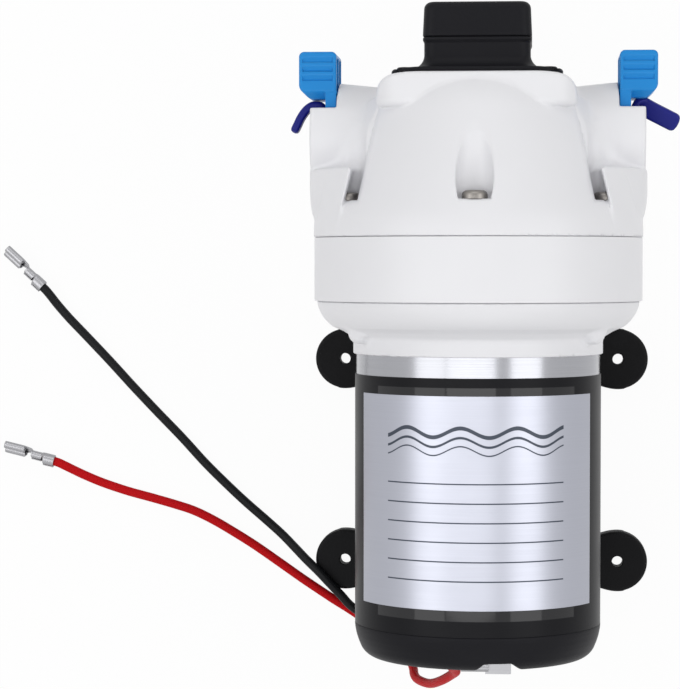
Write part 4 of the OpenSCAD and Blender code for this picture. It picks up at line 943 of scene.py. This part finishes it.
class PUMP_OT_motor(bpy.types.Operator):
    """Builds the motor's wrap, label and rear cap, and finishes its can"""
    bl_idname = "pump.motor"
    bl_label = "Motor"

    def execute(self, context):
        sizes = context.scene.pump_sizes
        colours = context.scene.pump_colours
        can = metal("can_steel", colours.can, 0.12, 0.2, 0.1, 2600.0, (0.12, 0.00004))
        dress(["motor_can"], can)
        film = plastic("wrap_film", colours.film, 0.15, 0.36, 0.1, 900.0, (0.08, 0.0001),
                       Specular_IOR_Level=0.09)
        gloss_zone(film)
        settle(bent_sheet("wrap_sheet", *WRAP_R, WRAP_HALF, CAP_SEAM - 0.2, WRAP_FRONT, 0.08, 160),
               film, "pump", "black_film", "motor_wrap")
        settle(bent_sheet("label_sheet", *LABEL_R, LABEL_HALF, *LABEL_ENDS, 0.04, 120),
               label_material(colours), "pump", "silver_film", "rating_label")
        moulding("rear_cap_skin", cap_field, (-39, -59, -39), (39, -44.5, 39),
                 sizes.plate_step, shell_black(colours), "pump", "black_plastic", "rear_cap")
        return {"FINISHED"}


class PUMP_OT_base(bpy.types.Operator):
    """Builds the base plate and the four rubber feet"""
    bl_idname = "pump.base"
    bl_label = "Base plate and feet"

    def execute(self, context):
        sizes = context.scene.pump_sizes
        colours = context.scene.pump_colours
        paint = plastic("plate_paint", colours.paint, 0.2, 0.4, 0.15, 700.0, (0.1, 0.0001),
                        Specular_IOR_Level=0.25)
        moulding("base_plate_skin", plate_field, (-40, -41, 2.6 - AXIS_H), (40, 40.1, -29.5),
                 sizes.plate_step, paint, "pump", "black_steel", "base_plate")
        rubber = plastic("foot_rubber", colours.rubber, 0.3, 0.6, 0.14, 1900.0, (0.3, 0.00012),
                         Specular_IOR_Level=0.12)
        points, quads, normals = skin(foot_field, (-16.3, -10, 0), (10, 10, 7), sizes.detail_step)
        for side, end, node in ((1, 1, "foot_front_right"), (1, -1, "foot_rear_right"),
                                (-1, 1, "foot_front_left"), (-1, -1, "foot_rear_left")):
            turn = np.array([side, side, 1.0])
            place = points * turn + (FOOT_X * side, FOOT_Y * end, 0.0)
            piece = put_mesh(node + "_pad", place * MM, quads, normals * turn)
            settle(piece, rubber, "pump", "black_rubber", node)
        return {"FINISHED"}


def spring_line(radius, low, high, turns):
    """Middle line of a coil spring in pump axes: a circle about the axis that rises evenly."""
    t = np.linspace(0, 1, 28 * turns + 1)
    a = 2 * math.pi * turns * t
    return np.column_stack([radius * np.cos(a), low + (high - low) * t, radius * np.sin(a)])


class PUMP_OT_switch(bpy.types.Operator):
    """Builds the pressure switch's base, cap and spring, and finishes its adjuster"""
    bl_idname = "pump.switch"
    bl_label = "Pressure switch"

    def execute(self, context):
        sizes = context.scene.pump_sizes
        colours = context.scene.pump_colours
        black = shell_black(colours)
        moulding("switch_base_skin", switch_base_field, (-26.6, PLATEAU - 0.8, -23.1),
                 (26.6, SWITCH_SEAM, 23.1), sizes.detail_step, black, "pump", "black_plastic",
                 "switch_base")
        moulding("switch_cap_skin", switch_cap_field, (-17, SWITCH_SEAM, -17), (17, SWITCH_TOP, 17),
                 sizes.detail_step, black, "pump", "black_plastic", "switch_cap")
        steel = plated_steel(colours)
        dress(["pressure_adjuster"], steel)
        line = spring_line(SPRING_R, SPRING[0] + WIRE_R, SPRING[1] - WIRE_R, SPRING_TURNS)
        points, quads, caps = carried(line, ring(WIRE_R, 10), (0.0, 1.0, 0.0))
        spring = put_mesh("switch_spring_coil", upright(points), quads, None, caps)
        settle(spring, steel, "pump", "plated_steel", "switch_spring")
        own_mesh(spring)
        return {"FINISHED"}


class PUMP_OT_clips(bpy.types.Operator):
    """Builds the two slide clips"""
    bl_idname = "pump.clips"
    bl_label = "Slide clips"

    def execute(self, context):
        step = context.scene.pump_sizes.clip_step
        blue = plastic("clip_blue", context.scene.pump_colours.clip, 0.06, 0.34, 0.1, 1300.0,
                       (0.06, 0.0001), Specular_IOR_Level=0.25)
        for side, node in ((-1, "inlet_clip"), (1, "outlet_clip")):
            near, far = sorted((44.0 * side, 56.0 * side))
            low = (near, 98.0, -10.7)
            high = (far, 132.5, 10.7)
            moulding(node + "_skin", clip_field, low, high, step, blue, node + "_body", "clip_blue", node)
        return {"FINISHED"}


INLET_STRAP = [
    (0, -5), (0, -2.8), (0.05, -1.3), (0.4, -0.4), (1.4, 0), (3.3, -0.15), (5.2, -1.5), (6.8, -3.7),
    (8.1, -6.3), (9.2, -8.6)]
OUTLET_STRAP = [
    (0, -5), (0, -2.8), (0.05, -1.3), (0.4, -0.4), (1.3, -0.1), (2.8, -0.8), (5.2, -2.15), (7.9, -3.55),
    (10.6, -4.95), (13.4, -6.4)]


def strap_line(steps, side):
    """The pull strap's middle line in pump axes: up inside the mouth, over its lip and outwards."""
    steps = np.array(steps)
    line = np.column_stack([STRAP_ROOT[0] + steps[:, 0], STRAP_ROOT[1] + steps[:, 1], 0 * steps[:, 0]])
    return smooth_line(line, 6) * (side, 1, 1)


class PUMP_OT_plugs(bpy.types.Operator):
    """Builds the two transit plugs with their pull straps"""
    bl_idname = "pump.plugs"
    bl_label = "Transit plugs"

    def execute(self, context):
        blue = plastic("plug_blue", context.scene.pump_colours.plug, 0.1, 0.4, 0.12, 1200.0, (0.1, 0.0001),
                       Specular_IOR_Level=0.2)
        section = soft_corners(SQUARE * STRAP_HALF, 1.1, 6)
        for side, twist, steps, node in ((-1, 0.0, INLET_STRAP, "inlet_plug"),
                                         (1, -75.0, OUTLET_STRAP, "outlet_plug")):
            outline = soft_corners(PLUG_OUTLINE, 0.5)
            a = np.linspace(0, 2 * math.pi, PLUG_SIDES, endpoint=False)
            r, out = outline[:, :1], outline[:, 1:]
            turned = side * out + 0 * a, PORT_Y + r * np.cos(a), side * r * np.sin(a)
            points = np.stack(np.broadcast_arrays(*turned), -1).reshape(-1, 3)
            faces = grid_faces(len(outline), PLUG_SIDES, True)
            body = put_mesh(node + "_body", upright(points), faces)
            settle(body, blue, node + "_body", "plug_blue", node)
            line = strap_line(steps, side)
            share = np.linspace(0, 1, len(line))
            turn = np.radians(twist) * np.clip((share - 0.3) / 0.25, 0, 1) ** 1.4
            end = np.sqrt(np.clip(1 - np.clip((share - 0.93) / 0.07, 0, 1) ** 2, 0.03, 1))
            q = section[None] * (1 - 0.85 * (1 - end[:, None, None]))
            c, s = np.cos(turn)[:, None], np.sin(turn)[:, None]
            outline = np.stack([q[..., 0] * c - q[..., 1] * s, q[..., 0] * s + q[..., 1] * c], -1)
            normal = np.cross((0.0, 0.0, 1.0), along(line))
            points, quads, caps = carried(line, outline, normal)
            strap = put_mesh(node + "_strap", upright(points), quads, None, caps)
            settle(strap, blue, node + "_body", "plug_blue")
        return {"FINISHED"}


def pan_head(radius, height, rings=26, sides=96):
    """A domed screw head with a cross recess: height over a disc, dropped by the recess's depth
    where either arm of the cross is nearer than its half width. Its seat is at height 0."""
    t = np.linspace(0, 1, rings)[:, None]
    a = np.linspace(0, 2 * math.pi, sides, endpoint=False)[None]
    r = radius * t
    dome = height * np.sqrt(np.clip(1 - t ** 5, 0, 1))
    x, y = r * np.cos(a), r * np.sin(a)
    arm = np.minimum(np.maximum(np.abs(x) - 0.14 * radius, np.abs(y) - 0.56 * radius),
                     np.maximum(np.abs(y) - 0.14 * radius, np.abs(x) - 0.56 * radius))
    sink = np.clip(-arm / (0.1 * radius), 0, 1) * 0.55 * height
    points = np.stack([x, y, dome - sink], -1)
    return points.reshape(-1, 3), grid_faces(rings, sides)


class PUMP_OT_screws(bpy.types.Operator):
    """Builds the heads of the housing, switch and cap screws"""
    bl_idname = "pump.screws"
    bl_label = "Screws"

    def execute(self, context):
        colours = context.scene.pump_colours
        grey = metal("screw_grey", colours.screw, 0.15, 0.34, 0.12, 1800.0)
        dark = metal("screw_black", colours.paint, 0.15, 0.4, 0.12, 1800.0)
        turns = np.arange(6) * math.pi / 3
        housing = np.column_stack(
            [SCREW_R0 * np.sin(turns), np.full(6, POCKET_FLOOR), SCREW_R0 * np.cos(turns)])
        switch = np.array([(SWITCH_SCREW[0] * a, SWITCH_SCREW_SEAT, SWITCH_SCREW[1] * b)
                           for a in (-1, 1) for b in (-1, 1)])
        cap = np.array([(CAP_SCREW_X, DISH_FLOOR, 0.0), (-CAP_SCREW_X, DISH_FLOOR, 0.0)])
        groups = (("housing_screws", housing, 3.9, 2.6, 1, grey),
                  ("switch_screws", switch, 2.7, 1.3, 1, dark),
                  ("cap_screws", cap, 3.2, 2.2, -1, plated_steel(colours)))
        for node, places, radius, height, way, steel in groups:
            points, quads = pan_head(radius, height)
            spin = np.radians(np.arange(len(places)) * 37.0 + 20.0)[:, None]
            x, y, z = points[None, :, 0], points[None, :, 1], points[None, :, 2]
            flat = np.stack([x * np.cos(spin) - y * np.sin(spin), way * (z + 0 * spin),
                             -way * (x * np.sin(spin) + y * np.cos(spin))], -1)
            every = (flat + places[:, None]).reshape(-1, 3)
            faces = (quads[None] + np.arange(len(places))[:, None, None] * len(points)).reshape(-1, 4)
            heads = put_mesh(node + "_heads", upright(every), faces)
            settle(heads, steel, "pump", "plated_steel")
            dress([node], steel)
        return {"FINISHED"}


def spade_sections():
    """Sections of a spade terminal from its tip to its wire end. Each is a flat floor with both sides
    rolled up: half floor width, roll radius, roll angle and floor height, eased between stations."""
    stations = np.array([
        (0.0, 2.2, 0.95, 250, 0.4), (0.3, 2.2, 1.05, 290, 0.35), (6.7, 2.2, 1.05, 290, 0.35),
        (7.4, 1.9, 0.7, 70, 0.35), (9.0, 1.3, 0.8, 60, 0.35), (9.7, 0.5, 1.15, 165, 0.75),
        (13.0, 0.5, 1.15, 165, 0.75), (13.5, 0.6, 1.3, 75, 0.6), (14.1, 0.25, 1.85, 168, 0.45),
        (17.6, 0.25, 1.85, 168, 0.45)])
    t = np.linspace(0, stations[-1, 0], 120)
    floor, roll, angle, base = (np.interp(t, stations[:, 0], stations[:, k])[:, None] for k in range(1, 5))
    u = np.linspace(-1, 1, 49)[None]
    lift = np.radians(angle) * np.clip((np.abs(u) - 0.4) / 0.6, 0, 1)
    y = np.sign(u) * (floor * np.clip(np.abs(u) / 0.4, 0, 1) + roll * np.sin(lift))
    z = base + roll * (1 - np.cos(lift))
    return np.stack(np.broadcast_arrays(-t[:, None] + 0 * u, y, z), -1)


class PUMP_OT_leads(bpy.types.Operator):
    """Builds the red and black leads with their spade terminals"""
    bl_idname = "pump.leads"
    bl_label = "Leads"

    def execute(self, context):
        colours = context.scene.pump_colours
        red = plastic("red_insulation", colours.red_wire, 0.12, 0.42, 0.1, 900.0, (0.08, 0.0001),
                      Specular_IOR_Level=0.02)
        black = plastic("black_insulation", colours.black_wire, 0.2, 0.4, 0.1, 900.0, (0.08, 0.0001),
                        Specular_IOR_Level=0.12)
        tin = metal("terminal_tin", colours.tin, 0.12, 0.34, 0.12, 1800.0)
        for word, route, tip, material in (("red", RED_ROUTE, RED_TIP, red),
                                           ("black", BLACK_ROUTE, BLACK_TIP, black)):
            line = smooth_line(route, 8) * MM
            least = np.linalg.svd(along(line))[2][-1]
            points, quads, caps = carried(line, ring(LEAD_R * MM, 20), least)
            lead = put_mesh(word + "_lead_tube", points, quads, None, caps)
            settle(lead, material, "pump", word + "_insulation", word + "_lead")
            end = np.array(route[-1], dtype=float)
            sheet = spade_sections()
            rows, columns = sheet.shape[:2]
            turn = math.atan2(tip[1] - end[1], tip[0] - end[0])
            c, s = math.cos(turn), math.sin(turn)
            x, y, z = (sheet.reshape(-1, 3) - (0, 0, SPADE_AXIS)).T
            lift = math.cos(SPADE_ROLL), math.sin(SPADE_ROLL)
            y, z = y * lift[0] + z * lift[1], z * lift[0] - y * lift[1]
            place = np.column_stack([tip[0] + x * c - y * s, tip[1] + x * s + y * c, end[2] + z])
            spade = put_mesh(word + "_terminal_sheet", place * MM,
                             grid_faces(rows, columns, False, False), ())
            wall = spade.modifiers.new("wall", "SOLIDIFY")
            wall.thickness = SPADE_T * MM
            wall.offset = 0.0
            settle(spade, tin, "pump", "plated_steel", word + "_lead_terminal")
        dress(["red_tab_connector", "black_tab_connector"], tin)
        dress(["motor_tabs"], metal("tab_brass", colours.brass, 0.1, 0.3))
        return {"FINISHED"}


class PUMP_OT_works(bpy.types.Operator):
    """Finishes the pieces inside the motor, the pump head and the switch"""
    bl_idname = "pump.works"
    bl_label = "Inner works"

    def execute(self, context):
        colours = context.scene.pump_colours
        steel = plated_steel(colours)
        ground = metal("ground_steel", colours.steel, 0.08, 0.16, 0.08, 4000.0)
        rubber = plastic("seal_rubber", colours.rubber, 0.2, 0.55, 0.1, 1500.0)
        valve = plastic("valve_plastic", colours.valve, 0.06, 0.4)
        dress(["motor_front_plate", "motor_rear_plate", "piston_discs", "piston_screws", "brush_springs"],
              steel)
        dress(["front_bearing", "rear_bearing", "armature_shaft", "cam", "wobble_bearing"], ground)
        dress(["armature_winding", "commutator"],
              metal("winding_copper", colours.copper, 0.3, 0.35, 0.1, 1600.0))
        dress(["armature_core"], metal("core_steel", srgb(120, 121, 126), 0.3, 0.4, 0.1, 1800.0))
        dress(["magnets", "brushes"], plastic("sintered_grey", srgb(52, 52, 55), 0.3, 0.6, 0.1, 1200.0))
        dress(["brush_card"], plastic("card_laminate", srgb(120, 92, 64), 0.2, 0.5))
        dress(["wobble_plate"], metal("wobble_alloy", srgb(188, 178, 150), 0.2, 0.45, 0.1, 900.0))
        dress(["diaphragm", "inlet_valves", "outlet_valve", "valve_seal", "switch_diaphragm",
               "switch_seal"], rubber)
        dress(["valve_plate", "switch_plunger"], valve)
        dress(["microswitch"], plastic("microswitch_red", srgb(128, 36, 36), 0.1, 0.4))
        return {"FINISHED"}


def soft_box(name, place, aim, size, power):
    """A rectangular lamp at a place, facing a point, with its first size along the pump's axis."""
    data = bpy.data.lights.new(name, "AREA")
    data.shape = "RECTANGLE"
    data.size, data.size_y = size
    data.energy = power
    lamp = bpy.data.objects.new(name, data)
    lamp.location = place
    back = (Vector(place) - Vector(aim)).normalized()
    across = back.cross(Vector((0, 1, 0))).normalized()
    lamp.rotation_euler = Matrix((across.cross(back), across, back)).transposed().to_euler()
    bpy.context.scene.collection.objects.link(lamp)


def seen_white(tree, plain, strength):
    """Mixes a shader with a white emission for what the camera, mirrors and glass see."""
    path = tree.nodes.new("ShaderNodeLightPath")
    seen = math_node(tree, "MAXIMUM", path.outputs["Is Camera Ray"], math_node(
        tree, "MAXIMUM", path.outputs["Is Glossy Ray"], path.outputs["Is Transmission Ray"]))
    on_surface = tree.nodes.get("Principled BSDF")
    white = tree.nodes.new("ShaderNodeEmission" if on_surface else "ShaderNodeBackground")
    white.inputs["Color"].default_value = (1, 1, 1, 1)
    white.inputs["Strength"].default_value = 1.0
    blend = tree.nodes.new("ShaderNodeMixShader")
    tree.links.new(math_node(tree, "MULTIPLY", seen, strength), blend.inputs[0])
    tree.links.new(plain, blend.inputs[1])
    tree.links.new(white.outputs[0], blend.inputs[2])
    return blend.outputs[0]


class PUMP_OT_stage(bpy.types.Operator):
    """Sets the pale floor, the soft lamps, the background and the camera"""
    bl_idname = "pump.stage"
    bl_label = "Stage"

    def execute(self, context):
        scene = context.scene
        scene.view_settings.view_transform = "Standard"
        corners = np.column_stack([SQUARE * FLOOR_HALF, np.full(4, FLOOR_Z)])
        floor = put_mesh("floor", corners, np.array([[0, 1, 2, 3]]))
        paper = bpy.data.materials.new("floor_paper")
        paper.use_nodes = True
        tree = paper.node_tree
        bsdf = tree.nodes["Principled BSDF"]
        bsdf.inputs["Base Color"].default_value = (0.9, 0.9, 0.9, 1)
        bsdf.inputs["Roughness"].default_value = 0.9
        tree.links.new(seen_white(tree, bsdf.outputs[0], 0.95), tree.nodes["Material Output"].inputs[0])
        floor.data.materials.append(paper)
        world = bpy.data.worlds.new("studio")
        scene.world = world
        world.use_nodes = True
        sky = world.node_tree
        plain = sky.nodes["Background"]
        plain.inputs["Color"].default_value = (1, 1, 1, 1)
        plain.inputs["Strength"].default_value = WORLD_LEVEL
        sky.links.new(seen_white(sky, plain.outputs[0], 1.0), sky.nodes["World Output"].inputs[0])
        for name, place, size, power in LAMPS:
            soft_box(name, place, LAMP_AIM, size, power)
        data = bpy.data.cameras.new("camera")
        data.lens = scene.pump_sizes.lens
        data.sensor_width = 36
        data.clip_end = 20
        camera = bpy.data.objects.new("camera", data)
        camera.location = CAMERA_AT
        back = (camera.location - Vector(CAMERA_AIM)).normalized()
        right = Vector((0, 1, 0)).cross(back).normalized()
        camera.rotation_euler = Matrix((right, back.cross(right), back)).transposed().to_euler()
        scene.collection.objects.link(camera)
        scene.camera = camera
        return {"FINISHED"}


class PUMP_PT_panel(bpy.types.Panel):
    """Lists the pump's builders"""
    bl_idname = "PUMP_PT_panel"
    bl_label = "Water pump"
    bl_space_type = "VIEW_3D"
    bl_region_type = "UI"
    bl_category = "Pump"

    def draw(self, context):
        for operator in OPERATORS:
            self.layout.operator(operator.bl_idname)


OPERATORS = (
    PUMP_OT_stage, PUMP_OT_leads, PUMP_OT_head, PUMP_OT_motor, PUMP_OT_base, PUMP_OT_switch,
    PUMP_OT_clips, PUMP_OT_plugs, PUMP_OT_screws, PUMP_OT_works,
)
CLASSES = (PumpSizes, PumpColours) + OPERATORS + (PUMP_PT_panel,)


def register():
    for cls in CLASSES:
        bpy.utils.register_class(cls)
    bpy.types.Scene.pump_sizes = PointerProperty(type=PumpSizes)
    bpy.types.Scene.pump_colours = PointerProperty(type=PumpColours)


def unregister():
    del bpy.types.Scene.pump_colours
    del bpy.types.Scene.pump_sizes
    for cls in reversed(CLASSES):
        bpy.utils.unregister_class(cls)


def main():
    register()
    bpy.ops.pump.stage()
    bpy.ops.pump.leads()
    bpy.ops.pump.head()
    bpy.ops.pump.motor()
    bpy.ops.pump.base()
    bpy.ops.pump.switch()
    bpy.ops.pump.clips()
    bpy.ops.pump.plugs()
    bpy.ops.pump.screws()
    bpy.ops.pump.works()


if __name__ == "__main__":
    main()
